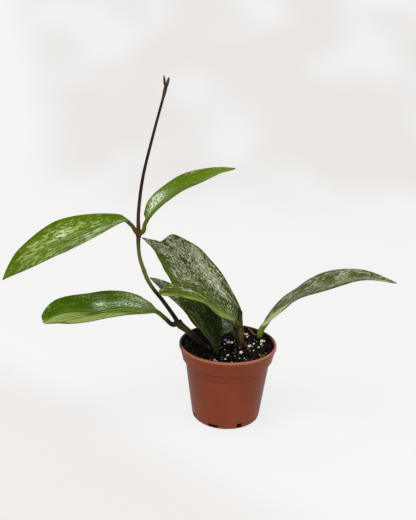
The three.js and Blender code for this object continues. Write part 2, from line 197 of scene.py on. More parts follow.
def mix(factor, a, b):
    """Mixes two colours, each a Value or (red, green, blue)."""
    a, b = [c if isinstance(c, Value) else (*c, 1.0) for c in (a, b)]
    return put(factor.tree, "ShaderNodeMix", {0: factor, 6: a, 7: b}, output=2, data_type="RGBA")


def times(colour, amount):
    return [c * amount for c in colour]


def spread(value, low, high, to_low=0.0, to_high=1.0):
    """Maps a value from one range to another, with a soft start and end."""
    ranges = {"Value": value, "From Min": low, "From Max": high, "To Min": to_low, "To Max": to_high}
    return put(value.tree, "ShaderNodeMapRange", ranges, interpolation_type="SMOOTHSTEP")


def clouds(place, scale, detail=3.0, roughness=0.5, distortion=0.0):
    """Noise from 0 to 1 over a place, with about `scale` lumps to the unit."""
    look = {"Scale": scale, "Detail": detail, "Roughness": roughness, "Distortion": distortion}
    return put(place.tree, "ShaderNodeTexNoise", {"Vector": place, **look})


def bump(shader, height, distance):
    made = put(height.tree, "ShaderNodeBump", {"Height": height, "Distance": distance, "Strength": 1.0})
    made.feed(shader.inputs["Normal"])


def object_place(tree):
    return put(tree, "ShaderNodeTexCoord", output=3)


def plastic_material(name, colour, shaded_and_stained):
    """Satin moulded plastic, dusty and faintly scuffed, with a painted highlight on its lip, painted shade
    under its collar and painted shade with peat dust on the back of its rim; for the inside it also darkens
    the wall that soil has touched with painted shade and soil stain.
    """
    material, tree, shader = new_material(name, 0.40, 0.13, (1.0, 0.72, 0.62))
    place = object_place(tree)
    x, y, height = three_parts(place)
    cloudy = clouds(place, 45.0, 4.0, 0.6)
    squeezed = put(tree, "ShaderNodeMapping", {"Vector": place, "Scale": (1.0, 1.0, 14.0)})
    rings = clouds(squeezed, 60.0, 3.0, 0.7)
    grain = clouds(place, 1900.0, 2.0, 0.6)
    dust = spread(clouds(place, 260.0, 5.0, 0.7), 0.55, 0.85, 0.0, 0.12)
    lip_highlight = spread(height, 0.0638, 0.0652, 0.0, 0.8)
    shade_under_collar = spread(abs(height - COLLAR_FOOT), 0.0002, 0.0022, 0.35, 0.0)
    faint_shade_ring = spread(abs(height - FAINT_SHADE_RING), 0.0006, 0.0022, 0.5, 0.0) * spread(cloudy, 0.4, 0.6)
    tint = mix(spread(cloudy, 0.3, 0.72), times(colour, 0.9), times(colour, 1.08))
    tint = mix(spread(rings, 0.4, 0.85, 0.0, 0.10), tint, (0.27, 0.10, 0.065))
    tint = mix(dust, tint, (0.30, 0.15, 0.11))
    # Painted highlight: the top of the lip is made lighter.
    tint = mix(lip_highlight, tint, (0.40, 0.135, 0.075))
    # Painted shade: a darker band where the collar's shadow falls on the wall.
    tint = mix(shade_under_collar, tint, times(colour, 0.6))
    # Painted shade: a fainter dark ring lower down, the soft lower edge of the collar's shadow, broken up by
    # noise.
    tint = mix(faint_shade_ring, tint, times(colour, 0.62))
    if shaded_and_stained:
        # Painted shade with soil stain: the inner wall turns near black up to just under the rim, fading out
        # with noise.
        inner_shade_and_stain = spread(height, 0.0636, 0.0656, 1.0, 0.0) + clouds(place, 420.0, 5.0, 0.65)
        tint = mix(spread(inner_shade_and_stain, 0.6, 1.1, 0.0, 0.97), tint, (0.014, 0.009, 0.006))
    # Painted shade with peat dust: the rim's top and inner side turn near black towards the back, most on the
    # left.
    behind = y + cloudy * 0.012 - 0.005 - x * 0.3
    back_shade_and_peat = spread(behind, -0.006, 0.006) * spread(x, 0.0, 0.025, 0.95, 0.8)
    if not shaded_and_stained:
        back_shade_and_peat = back_shade_and_peat * spread(height, 0.0646, 0.0652)
    mix(back_shade_and_peat, tint, SHADED_PEAT_BROWN).feed(shader.inputs["Base Color"])
    spread(cloudy, 0.25, 0.8, 0.36, 0.5).feed(shader.inputs["Roughness"])
    bump(shader, grain + rings * 1.2, 0.00005)
    return material


outer_plastic = plastic_material("terracotta_plastic", (0.188, 0.038, 0.014), shaded_and_stained=False)
inner_plastic = plastic_material("shaded_soil_stained_plastic", (0.17, 0.040, 0.020), shaded_and_stained=True)
pot_line = refined(rounded(POT_OUTLINE, (0.0, 0.0), (0.0, POT_FLOOR)), POT_LONGEST_EDGE)
pot_moulding = new_piece("pot_moulding", *turned(pot_line, POT_SIDES))
pot_moulding.data.materials.append(outer_plastic)
pot_moulding.data.materials.append(inner_plastic)


def inside_of_pot(face):
    """Whether a face of the pot looks inwards, or up from its floor, below the height to which the inside
    gets painted shade with soil stain.
    """
    inwards = face.normal.x * face.center.x + face.normal.y * face.center.y < -1e-5
    on_floor = face.normal.z > 0.5 and face.center.z < 0.01
    return (inwards or on_floor) and face.center.z < SHADE_AND_STAIN_REACH * MM


pot_faces = pot_moulding.data.polygons
pot_faces.foreach_set("material_index", [int(inside_of_pot(face)) for face in pot_faces])


def tree_with(name, fields):
    """A geometry node tree with a geometry input and output, and named inputs for sizes."""
    tree = bpy.data.node_groups.new(name, "GeometryNodeTree")
    for label, kind in {"Geometry": "Geometry", **fields}.items():
        tree.interface.new_socket(label, in_out="INPUT", socket_type="NodeSocket" + kind)
    tree.interface.new_socket("Geometry", in_out="OUTPUT", socket_type="NodeSocketGeometry")
    given = {socket.name: Value(tree, socket) for socket in tree.nodes.new("NodeGroupInput").outputs}
    return tree, given, tree.nodes.new("NodeGroupOutput").inputs[0]


def grown(piece, tree, values):
    """Runs a node tree on a piece and gives back the plain mesh that it makes."""
    modifier = piece.modifiers.new(tree.name, "NODES")
    modifier.node_group = tree
    for item in tree.interface.items_tree:
        if item.in_out == "INPUT" and item.name in values:
            modifier[item.identifier] = values[item.name]
    graph = bpy.context.evaluated_depsgraph_get()
    evaluated = piece.evaluated_get(graph)
    made = bpy.data.meshes.new_from_object(evaluated, preserve_all_data_layers=True, depsgraph=graph)
    piece.modifiers.remove(modifier)
    return made


slot_tree, slot_in, slot_end = tree_with(
    "drainage_slots",
    {
        "Count": "Int", "Ring Radius": "Float", "First Angle": "Float", "Size": "Vector", "Middle": "Float",
        "Material": "Material",
    },
)
spacing = put(slot_tree, "ShaderNodeMath", {0: 2 * math.pi, 1: slot_in["Count"]}, operation="DIVIDE")
steps_round = {0: put(slot_tree, "GeometryNodeInputIndex"), 1: spacing, 2: slot_in["First Angle"]}
angle = put(slot_tree, "ShaderNodeMath", steps_round, operation="MULTIPLY_ADD")
ring_x = angle.math("COSINE") * slot_in["Ring Radius"]
ring_y = angle.math("SINE") * slot_in["Ring Radius"]
ring_place = put(slot_tree, "ShaderNodeCombineXYZ", {"X": ring_x, "Y": ring_y, "Z": slot_in["Middle"]})
ring_points = put(slot_tree, "GeometryNodePoints", {"Count": slot_in["Count"], "Position": ring_place})
one_block = put(slot_tree, "GeometryNodeMeshCube", {"Size": slot_in["Size"]})
block_turn = put(slot_tree, "ShaderNodeCombineXYZ", {"Z": angle})
placing = {"Points": ring_points, "Instance": one_block, "Rotation": block_turn}
blocks = put(slot_tree, "GeometryNodeInstanceOnPoints", placing)
blocks = put(slot_tree, "GeometryNodeRealizeInstances", {0: blocks})
blocks = put(slot_tree, "GeometryNodeSetMaterial", {"Geometry": blocks, "Material": slot_in["Material"]})
cutting = {"Mesh 1": slot_in["Geometry"], "Mesh 2": blocks}
put(slot_tree, "GeometryNodeMeshBoolean", cutting, operation="DIFFERENCE", solver="EXACT").feed(slot_end)
for first_angle, size, middle in SLOTS:
    slot_sizes = {
        "Count": SLOTS_OF_A_KIND, "Ring Radius": SLOT_RING * MM, "First Angle": math.radians(first_angle),
        "Size": [s * MM for s in size], "Middle": middle * MM, "Material": outer_plastic,
    }
    pot_moulding.data = grown(pot_moulding, slot_tree, slot_sizes)
pot_moulding.data.name = "pot_moulding"
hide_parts("pot")
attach(pot_moulding, "root")

# Soil: dark peat that fills the pot to just under its rim, with a lumpy top. It is turned like the
# pot, and its top is raised by a formula, with a low mound where each stem or stalk comes out.
SOIL_TOP = 63.5
SOIL_EDGE = 37.3
SOIL_SIDES = 190
SOIL_ROWS = 62
SOIL_OUTLINE = [(0.0, 1.6), (24.6, 1.6), (26.1, 3.0), (33.2, 51.8), (35.4, 54.2), (SOIL_EDGE, 62.2)]
SOIL_LONGEST_EDGE = 6.0
MOUNDS = [(-17, -10.5), (11.5, -1), (27.8, 16.8), (-8.6, -19)]


def soil_height(x, y):
    """Height of the soil over a point of the pot, all in millimetres."""
    base = SOIL_TOP + 0.7 * math.sin(x / 5.1 + 1) * math.cos(y / 4.3) + 0.5 * math.sin(x / 2.7 - y / 3.1)
    lumps = noise.fractal(Vector((x / 3.2, y / 3.2, 4.0)), 0.9, 2.1, 4)
    edge = max(0.0, math.hypot(x, y) - 33.0) / 4.3
    mound = sum(1.1 * math.exp(-(((x - a) ** 2 + (y - b) ** 2) / 20.0)) for a, b in MOUNDS)
    return base + 0.75 * lumps * (1 - 0.6 * edge) + mound - 1.0 * edge * edge


top_rows = [(SOIL_EDGE * (1 - k / SOIL_ROWS), SOIL_TOP) for k in range(SOIL_ROWS + 1)]
soil_verts, soil_faces = turned(refined(SOIL_OUTLINE, SOIL_LONGEST_EDGE) + top_rows, SOIL_SIDES)
soil_verts = [
    (x, y, soil_height(x / MM, y / MM) * MM) if z > (SOIL_TOP - 0.01) * MM else (x, y, z)
    for x, y, z in soil_verts
]
soil_bed = new_piece("soil_bed", soil_verts, soil_faces)


def peat_material(name, dark, light, warm, speck_and_glint):
    """Wet crumbly peat: near black, browner on its clods, with pale dots that stand for mineral grains and
    painted wet glints, and a wet gloss.
    """
    material, tree, shader = new_material(name, 0.55, 0.03, (1.0, 0.85, 0.65))
    place = object_place(tree)
    crumbs = clouds(place, 900.0, 6.0, 0.7)
    clods = clouds(place, 240.0, 3.0, 0.6)
    specks_and_glints = put(tree, "ShaderNodeTexVoronoi", {"Vector": place, "Scale": 800.0})
    tint = mix(spread(crumbs, 0.42, 0.70), dark, light)
    tint = mix(spread(clods, 0.54, 0.66, 0.0, 0.75), tint, warm)
    # Pale dots that stand for mineral grains and painted wet glints.
    tint = mix(spread(specks_and_glints, 0.07, 0.16, speck_and_glint, 0.0), tint, (0.60, 0.53, 0.43))
    tint.feed(shader.inputs["Base Color"])
    spread(clods, 0.40, 0.62, 0.34, 0.9).feed(shader.inputs["Roughness"])
    bump(shader, crumbs, 0.0009)
    return material


damp_peat = peat_material(
    "damp_peat", (0.001, 0.0008, 0.0006), (0.006, 0.004, 0.003), (0.020, 0.013, 0.009), 0.4
)
soil_bed.data.materials.append(damp_peat)
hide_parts("soil")
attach(soil_bed, "root")

# Peat crumbs, bark chips and perlite crumbs: loose bits that lie all over the soil's top, the perlite
# thinner towards the left. One node tree scatters them, and its noise gives each lump its own form.
BED_RINGS = 40
BED_SPOKES = 72
BED_REACH = 36.2
BED_SINK = 0.1
THIN_UP_TO = -0.014  # these two places are in metres, as the tree reads them
FULL_FROM = 0.002
scatter_tree, scatter_in, scatter_end = tree_with(
    "scattered_lumps",
    {
        "Density": "Float", "Left Share": "Float", "Seed": "Int", "Detail": "Int", "Smallest": "Vector",
        "Largest": "Vector", "Lumpiness": "Float", "Lump Scale": "Float", "Material": "Material",
    },
)
position = put(scatter_tree, "GeometryNodeInputPosition")
from_left = {
    "Value": three_parts(position)[0], "From Min": THIN_UP_TO, "From Max": FULL_FROM,
    "To Min": scatter_in["Left Share"], "To Max": 1.0,
}
share = put(scatter_tree, "ShaderNodeMapRange", from_left)
scattering = {
    "Mesh": scatter_in["Geometry"], "Density": scatter_in["Density"] * share, "Seed": scatter_in["Seed"],
}
points = put(scatter_tree, "GeometryNodeDistributePointsOnFaces", scattering)
sizing = {0: scatter_in["Smallest"], 1: scatter_in["Largest"], "Seed": scatter_in["Seed"]}
turning = {0: (0.0, 0.0, 0.0), 1: (6.28, 6.28, 6.28), "Seed": 5}
lump_scale = put(scatter_tree, "FunctionNodeRandomValue", sizing, data_type="FLOAT_VECTOR")
lump_turn = put(scatter_tree, "FunctionNodeRandomValue", turning, data_type="FLOAT_VECTOR")
ball = put(scatter_tree, "GeometryNodeMeshIcoSphere", {"Radius": 0.5, "Subdivisions": scatter_in["Detail"]})
placing = {"Points": points, "Instance": ball, "Rotation": lump_turn, "Scale": lump_scale}
lumps = put(scatter_tree, "GeometryNodeInstanceOnPoints", placing)
lumps = put(scatter_tree, "GeometryNodeRealizeInstances", {0: lumps})
waves = {"Vector": position, "Scale": scatter_in["Lump Scale"], "Detail": 2.0}
push = put(scatter_tree, "ShaderNodeTexNoise", waves, output=1)
push = put(scatter_tree, "ShaderNodeVectorMath", {0: push, 1: (0.5, 0.5, 0.5)}, operation="SUBTRACT")
pushing = {0: push, "Scale": scatter_in["Lumpiness"]}
push = put(scatter_tree, "ShaderNodeVectorMath", pushing, operation="SCALE")
lumps = put(scatter_tree, "GeometryNodeSetPosition", {"Geometry": lumps, "Offset": push})
lumps = put(scatter_tree, "GeometryNodeSetMaterial", {"Geometry": lumps, "Material": scatter_in["Material"]})
lumps.feed(scatter_end)

bed_verts = []
for r in np.linspace(0.5, BED_REACH, BED_RINGS):
    for a in np.linspace(0, 2 * math.pi, BED_SPOKES, endpoint=False):
        x, y = r * math.cos(a), r * math.sin(a)
        bed_verts.append((x * MM, y * MM, (soil_height(x, y) - BED_SINK) * MM))
bed_faces = []
for i in range(0, (BED_RINGS - 1) * BED_SPOKES, BED_SPOKES):
    for j in range(BED_SPOKES):
        k = (j + 1) % BED_SPOKES
        bed_faces.append((i + j, i + BED_SPOKES + j, i + BED_SPOKES + k, i + k))
crumb_bed = new_piece("crumb_bed", bed_verts, bed_faces)


def perlite_material(name, white, shade):
    """Expanded perlite: a white crumbly glass foam, with painted shade in its pits and patches of dirt."""
    material, tree, shader = new_material(name, 0.85, 0.3)
    place = object_place(tree)
    pits = clouds(place, 1400.0, 4.0, 0.7)
    dirt = spread(clouds(place, 500.0, 4.0, 0.6), 0.55, 0.7, 0.0, 0.6)
    # Painted shade: the pits, low in the bump, take the darker colour.
    tint = mix(spread(pits, 0.30, 0.55), shade, white)
    mix(dirt, tint, (0.12, 0.08, 0.05)).feed(shader.inputs["Base Color"])
    bump(shader, pits, 0.0005)
    return material


peat_crumb = peat_material(
    "peat_crumb", (0.0008, 0.0006, 0.0004), (0.0065, 0.0042, 0.003), (0.060, 0.038, 0.026), 0.75
)
bark_chip = peat_material(
    "bark_chip", (0.004, 0.0025, 0.0015), (0.030, 0.017, 0.010), (0.080, 0.050, 0.032), 0.1
)
perlite = perlite_material("perlite", (0.93, 0.87, 0.80), (0.45, 0.38, 0.31))
for name, density, left_share, seed, detail, smallest, largest, lumpiness, lump_size, material in (
    ("peat_crumbs", 420000.0, 1.0, 3, 1, (0.5, 0.5, 0.4), (1.9, 1.6, 1.3), 0.9, 900.0, peat_crumb),
    ("bark_chips", 26000.0, 1.0, 8, 2, (0.7, 0.5, 0.3), (3.2, 1.9, 0.9), 0.8, 700.0, bark_chip),
    ("perlite_crumbs", 19000.0, 0.25, 21, 2, (0.4, 0.4, 0.3), (1.7, 1.2, 1.0), 0.9, 900.0, perlite),
):
    lump_sizes = {
        "Density": density, "Left Share": left_share, "Seed": seed, "Detail": detail,
        "Smallest": [s * MM for s in smallest], "Largest": [s * MM for s in largest],
        "Lumpiness": lumpiness * MM, "Lump Scale": lump_size, "Material": material,
    }
    scattered = grown(crumb_bed, scatter_tree, lump_sizes)
    scattered.name = name
    scattered.materials.clear()
    scattered.materials.append(material)
    piece = bpy.data.objects.new(name, scattered)
    bpy.context.scene.collection.objects.link(piece)
    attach(piece, "root")
bpy.data.objects.remove(crumb_bed)

# Perlite grains: the large white lumps that show at once between the stems, each at its own place. Some
# yellow-green slow-release pellets, bits of moss, a pale twig and brown fibre crumbs lie among them.
GRAINS = [  # x, y, length, width, height, and turn in degrees, then how far it stands out
    (18.0, -1.5, 3.6, 2.4, 2.6, 25, 0.5), (28.2, 5.2, 2.2, 2.4, 4.6, 10, 1.3),
    (10.3, -15.4, 3.2, 2.4, 2.4, 70, 0.5), (0.7, 4.4, 3.4, 2.6, 2.4, 5, 0.4),
    (3.4, 1.4, 2.6, 2.2, 2.2, 50, 0.5), (16.7, 14.2, 1.7, 1.4, 1.6, 0, 0.4),
    (-10.8, -28.4, 2.0, 1.6, 1.6, 40, 0.4), (21.6, 2.8, 1.6, 1.3, 1.5, 0, 0.4),
    (20.8, -9.5, 1.7, 1.2, 1.3, 80, 0.4), (-2.5, -29.5, 1.6, 1.2, 1.1, 15, 0.3),
    (14.0, -27.8, 1.5, 1.2, 1.0, 60, 0.3), (12.0, 9.0, 1.6, 1.4, 1.3, 0, 0.3),
    (-1.8, 9.4, 2.6, 1.0, 1.0, 20, 0.4), (-2.6, 2.2, 2.0, 0.9, 0.9, 120, 0.3),
    (27.6, 1.2, 1.5, 1.5, 3.2, 0, 1.0), (30.4, 8.0, 1.4, 1.2, 1.4, 0, 0.4),
]
PELLETS = [
    (-0.3, -21.8, 2.2, 2.1, 2.0, 0, 0.7), (25.4, -3.2, 2.4, 1.5, 2.1, 40, 0.6),
    (9.0, -24.5, 1.3, 1.2, 1.2, 0, 0.3),
]
CREAM_GRAINS = [(16.3, 23.5, 3.4, 2.4, 2.6, 20, 0.7), (14.2, 25.0, 1.8, 1.5, 1.5, 60, 0.5)]
MOSS = [
    (28.4, -18.4, 2.6, 1.4, 1.1, 30, 0.3), (26.2, -21.2, 1.9, 1.3, 1.1, 80, 0.3),
    (30.6, -14.3, 2.2, 1.2, 1.0, 130, 0.3), (-14.0, -27.5, 1.8, 1.0, 0.9, 60, 0.3),
]
TWIG_PATH = [(24.2, 18.9, 63.2), (20.7, 25.0, 65.4), (18.0, 30.0, 66.1)]
FIBRE_CRUMBS = 34
FIBRE_CENTRE = (12.6, -0.6)


def lump(centre, sizes, turn_degrees, seed, roughness):
    """Vertices and faces of one rough lump, in metres."""
    ball = bmesh.new()
    bmesh.ops.create_icosphere(ball, subdivisions=3, radius=0.5)
    spin = Matrix.Rotation(math.radians(turn_degrees), 3, "Z") @ Matrix.Rotation(seed * 0.7, 3, "X")
    verts = []
    for v in ball.verts:
        p = v.co * (1 + roughness * 2 * noise.noise(v.co * 3.1 + Vector((seed * 3.7, 0, 0))))
        p += v.co * roughness * noise.noise(v.co * 8.0 + Vector((0, seed * 2.9, 0)))
        p = spin @ Vector((p.x * sizes[0], p.y * sizes[1], p.z * sizes[2])) + Vector(centre)
        verts.append(tuple(p * MM))
    faces = [tuple(v.index for v in f.verts) for f in ball.faces]
    ball.free()
    return verts, faces


def lumps_at(places, roughness):
    return [
        lump((x, y, soil_height(x, y) + stand), (length, width, height), turn_degrees, seed, roughness)
        for seed, (x, y, length, width, height, turn_degrees, stand) in enumerate(places)
    ]


def joined(name, parts):
    """One piece from several parts, each of which starts with its vertices and faces."""
    verts, faces = [], []
    for part_verts, part_faces, *_ in parts:
        faces += [tuple(i + len(verts) for i in face) for face in part_faces]
        verts += part_verts
    return new_piece(name, verts, faces)


def smooth_line(points, steps=1200):
    """A Catmull-Rom line through points, as rows, with the way travelled at each row."""
    points = np.asarray(points, float)
    padded = np.vstack([2 * points[0] - points[1], points, 2 * points[-1] - points[-2]])
    spans = len(points) - 1
    t = np.linspace(0, spans, steps + 1)
    i = np.minimum(t.astype(int), spans - 1)
    w = (t - i)[:, None]
    p0, p1, p2, p3 = padded[i], padded[i + 1], padded[i + 2], padded[i + 3]
    a, b = 0.5 * (p2 - p0), 0.5 * (p3 - p1)
    line = p1 + a * w + (3 * p2 - 3 * p1 - 2 * a - b) * w**2 + (2 * p1 - 2 * p2 + a + b) * w**3
    travelled = np.r_[0, np.cumsum(np.linalg.norm(np.diff(line, axis=0), axis=1))]
    return line, travelled


def read_line(line, travelled, distance):
    """Points on a line at distances along it."""
    return np.stack([np.interp(distance, travelled, line[:, k]) for k in range(line.shape[1])], axis=-1)


def unit(rows):
    return rows / np.linalg.norm(rows, axis=-1, keepdims=True)


def heading(line, travelled, distance, reach):
    """The way a line goes at distances along it, measured over a short reach to either side."""
    ahead = read_line(line, travelled, np.clip(distance + reach, 0, travelled[-1]))
    behind = read_line(line, travelled, np.clip(distance - reach, 0, travelled[-1]))
    return unit(ahead - behind)


def ring_faces(rings, count):
    """Quads between rings of points, and one face that closes each end."""
    faces = []
    for i in range(rings - 1):
        for j in range(count):
            a, b = i * count + j, i * count + (j + 1) % count
            faces.append((a, b, b + count, a + count))
    faces.append(tuple(range(count))[::-1])
    faces.append(tuple((rings - 1) * count + j for j in range(count)))
    return faces


def swept(path, radii, step, sides, ribs, seed):
    """A round stem along a path in millimetres. radii holds (place from 0 to 1, radius); ribs is how deep
    its dried skin is wrinkled. Gives vertices, faces, and for each vertex its place along the stem, its
    place round it and its distance from the start."""
    line, travelled = smooth_line(path)
    rings = max(4, int(travelled[-1] / step))
    distance = np.linspace(0, travelled[-1], rings)
    centre = read_line(line, travelled, distance)
    tangent = heading(line, travelled, distance, 0.5)
    curve, _ = smooth_line(radii, 400)
    radius = np.interp(distance / travelled[-1], curve[:, 0], curve[:, 1])
    across = np.cross(tangent[0], (0.0, 1.0, 0.0))
    verts, way = [], []
    for i in range(rings):
        across = across - tangent[i] * (across @ tangent[i])
        across = across / np.linalg.norm(across)
        other = np.cross(tangent[i], across)
        for j in range(sides):
            a = 2 * math.pi * j / sides
            rib = noise.noise(Vector((math.cos(a) * 2.2, math.sin(a) * 2.2, distance[i] / 7 + seed)))
            knob = noise.noise(Vector((math.cos(a) * 1.3, math.sin(a) * 1.3, distance[i] / 2.1 + seed + 40)))
            r = radius[i] * (1 + ribs * (rib + 0.5 * knob))
            verts.append(tuple((centre[i] + across * r * math.cos(a) + other * r * math.sin(a)) * MM))
            way.append((distance[i] / travelled[-1], a / (2 * math.pi), distance[i]))
    return verts, ring_faces(rings, sides), way


def plain_material(name, colour, darker):
    """Dull and mottled, for small bits."""
    material, tree, shader = new_material(name, 0.7, 0.2)
    mottle = clouds(object_place(tree), 1500.0, 3.0, 0.6)
    mix(spread(mottle, 0.35, 0.6), darker, colour).feed(shader.inputs["Base Color"])
    return material


draw = np.random.default_rng(11)
fibre = []
for _ in range(FIBRE_CRUMBS):
    away, angle, length = draw.uniform(2.6, 8.2), draw.uniform(0, 360), draw.uniform(1.1, 2.6)
    x = FIBRE_CENTRE[0] + away * math.cos(math.radians(angle))
    y = FIBRE_CENTRE[1] + away * math.sin(math.radians(angle))
    stand = 0.2 + 2.2 * math.exp(-away / 2.6)
    fibre.append((x, y, length, length * 0.5, length * 0.45, draw.uniform(0, 180), stand))
twig = swept(TWIG_PATH, [(0, 0.35), (0.5, 0.45), (1, 0.25)], 0.5, 8, 0.2, 3.0)
feed_pellet = plain_material("feed_pellet", (0.62, 0.58, 0.24), (0.42, 0.40, 0.12))
moss = plain_material("moss", (0.22, 0.22, 0.04), (0.03, 0.035, 0.008))
dry_twig = plain_material("dry_twig", (0.25, 0.24, 0.09), (0.11, 0.10, 0.035))
cream_perlite = plain_material("cream_perlite", (0.80, 0.68, 0.42), (0.48, 0.34, 0.17))
brown_fibre = plain_material("brown_fibre", (0.115, 0.062, 0.030), (0.026, 0.015, 0.009))
for name, parts, material in (
    ("perlite_grains", lumps_at(GRAINS, 0.24), perlite),
    ("feed_pellets", lumps_at(PELLETS, 0.04), feed_pellet),
    ("moss_bits", lumps_at(MOSS, 0.4), moss),
    ("pale_twig", [twig], dry_twig),
    ("cream_grains", lumps_at(CREAM_GRAINS, 0.24), cream_perlite),
    ("fibre_crumbs", lumps_at(fibre, 0.3), brown_fibre),
):
    piece = joined(name, parts)
    piece.data.materials.append(material)
    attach(piece, "root")

# Left cutting and its vine: one stem that leans out of the soil to a knobbly node, climbs as a thin
# vine to the next node and goes on as a dark whip. Swept along one smooth line, with its skin's colour
# changing along the way. A cut stub and a small bud are swept into it at the lower nodes.
LEFT_PATH = [
    (-4, -12, 40), (-8, -12.5, 52), (-18.5, -10.5, 64.5), (-31, -7, 76.4), (-41, -3.2, 83), (-43.3, -2.4, 87),
    (-49.5, -1, 95.5), (-55.6, 0, 103.5), (-61.1, 1, 110), (-66.1, 2, 117.5), (-69.6, 3, 126),
    (-72.8, 3, 136.5), (-73.8, 2, 148), (-73.4, 0, 157), (-73.2, -2, 175.5), (-69.5, -4, 204),
    (-61.8, -3, 236.5), (-54.8, 1, 263.5), (-53, 2, 272),
]
LEFT_RADII = [
    (0, 2.4), (0.10, 2.4), (0.17, 2.55), (0.20, 2.65), (0.216, 3.1), (0.229, 2.7), (0.250, 1.8), (0.36, 1.6),
    (0.415, 1.65), (0.425, 1.9), (0.437, 1.6), (0.51, 1.55), (0.535, 1.85), (0.548, 2.45), (0.560, 1.8),
    (0.60, 1.42), (0.66, 1.32), (0.82, 1.12), (0.95, 1.0), (0.966, 1.1), (0.98, 1.4), (0.992, 1.35), (1, 1.0),
]
STUB_PATH = [(-40.9, -2.8, 83.2), (-39.4, -2.5, 84.3), (-38.2, -2.2, 85.2)]
BUD_PATH = [(-66.1, 2, 117.6), (-67.5, 1.6, 118.8), (-68.6, 1.3, 119.7)]
STUB_ON_VINE = 0.24
BUD_ON_VINE = 0.425
# The near-black colours up to 0.17, where the stem stands inside the pot, are painted shade.
VINE_COLOURS = [  # place from 0 to 1, then the colour there
    (0.0, 0.003, 0.002, 0.001), (0.125, 0.005, 0.004, 0.002), (0.17, 0.014, 0.012, 0.003),
    (0.20, 0.042, 0.036, 0.009), (0.25, 0.006, 0.004, 0.003), (0.345, 0.013, 0.010, 0.004),
    (0.385, 0.100, 0.112, 0.012), (0.47, 0.140, 0.145, 0.024), (0.525, 0.070, 0.060, 0.022),
    (0.55, 0.070, 0.030, 0.018), (0.60, 0.048, 0.028, 0.019), (0.68, 0.024, 0.015, 0.011),
    (0.95, 0.016, 0.011, 0.009), (0.98, 0.060, 0.042, 0.018), (1.0, 0.025, 0.016, 0.010),
]


def painted(piece, name, rows):
    """Stores a vector for each vertex of a piece under a name that its material reads."""
    field = piece.data.attributes.new(name, "FLOAT_VECTOR", "POINT")
    field.data.foreach_set("vector", np.asarray(rows, np.float32).ravel())


def stored(tree, name):
    """The vector stored on a piece's vertices under a name."""
    return put(tree, "ShaderNodeAttribute", output=1, attribute_name=name)


def stem_material(name, colours, streak, woody_to, blotch):
    """Stem skin whose colour changes along the stem, with fine streaks and small pale corky dots up to the
    place woody_to, and rusty blotches. colours holds (place from 0 to 1, red, green, blue)."""
    material, tree, shader = new_material(name, 0.48, 0.06, (1.0, 0.85, 0.6))
    along, around, distance = three_parts(stored(tree, "way"))
    place = object_place(tree)
    ramp = tree.nodes.new("ShaderNodeValToRGB")
    (along + (clouds(place, 90.0) - 0.5) * 0.03).feed(ramp.inputs[0])
    marks = ramp.color_ramp.elements
    while len(marks) < len(colours):
        marks.new(0.5)
    for mark, (spot, *colour) in zip(marks, colours):
        mark.position = spot
        mark.color = (*colour, 1.0)
    angle = around * (2 * math.pi)
    skin_place = {"X": angle.math("COSINE"), "Y": angle.math("SINE"), "Z": distance * 0.11}
    streaks = clouds(put(tree, "ShaderNodeCombineXYZ", skin_place), 3.0, 5.0, 0.65)
    woody = spread(along, woody_to, woody_to + 0.1, 1.0, 0.15)
    aged = spread(along, 0.32, 0.39, 0.12, 1.0)
    rusty = aged * spread(along, 0.50, 0.66, 1.0, 0.2)
    dots = put(tree, "ShaderNodeTexVoronoi", {"Vector": place, "Scale": 520.0})
    blotches = clouds(place, 480.0, 3.0, 0.6)
    tint = Value(tree, ramp.outputs[0])
    tint = mix(spread(streaks, 0.5, 0.72, 0.0, streak) * woody, tint, (0.012, 0.008, 0.005))
    tint = mix(spread(streaks, 0.5, 0.3, 0.0, streak * 0.5) * (woody * aged), tint, (0.16, 0.13, 0.05))
    tint = mix(spread(dots, 0.10, 0.2, 0.3, 0.0) * woody, tint, (0.20, 0.16, 0.09))
    tint = mix(spread(blotches, 0.50, 0.42, 0.0, blotch), tint, (0.012, 0.012, 0.004))
    tint = mix(spread(blotches, 0.54, 0.64, 0.0, blotch) * rusty, tint, (0.13, 0.052, 0.018))
    tint.feed(shader.inputs["Base Color"])
    bump(shader, streaks + clouds(place, 900.0, 4.0), 0.00025)
    return material


vine = swept(LEFT_PATH, LEFT_RADII, 0.8, 18, 0.03, 0.0)
stub = swept(STUB_PATH, [(0, 2.2), (0.5, 2.05), (1, 1.4)], 0.3, 16, 0.16, 9.0)
bud = swept(BUD_PATH, [(0, 1.4), (0.6, 1.0), (1, 0.35)], 0.4, 12, 0.06, 17.0)
left_stem_skin = joined("left_stem_skin", [vine, stub, bud])
stub_way = [(STUB_ON_VINE, around, distance) for _, around, distance in stub[2]]
bud_way = [(BUD_ON_VINE, around, distance) for _, around, distance in bud[2]]
painted(left_stem_skin, "way", vine[2] + stub_way + bud_way)
left_stem_skin.data.materials.append(stem_material("vine_skin", VINE_COLOURS, 0.55, 0.50, 0.10))
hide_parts("left_stem")
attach(left_stem_skin, "root")

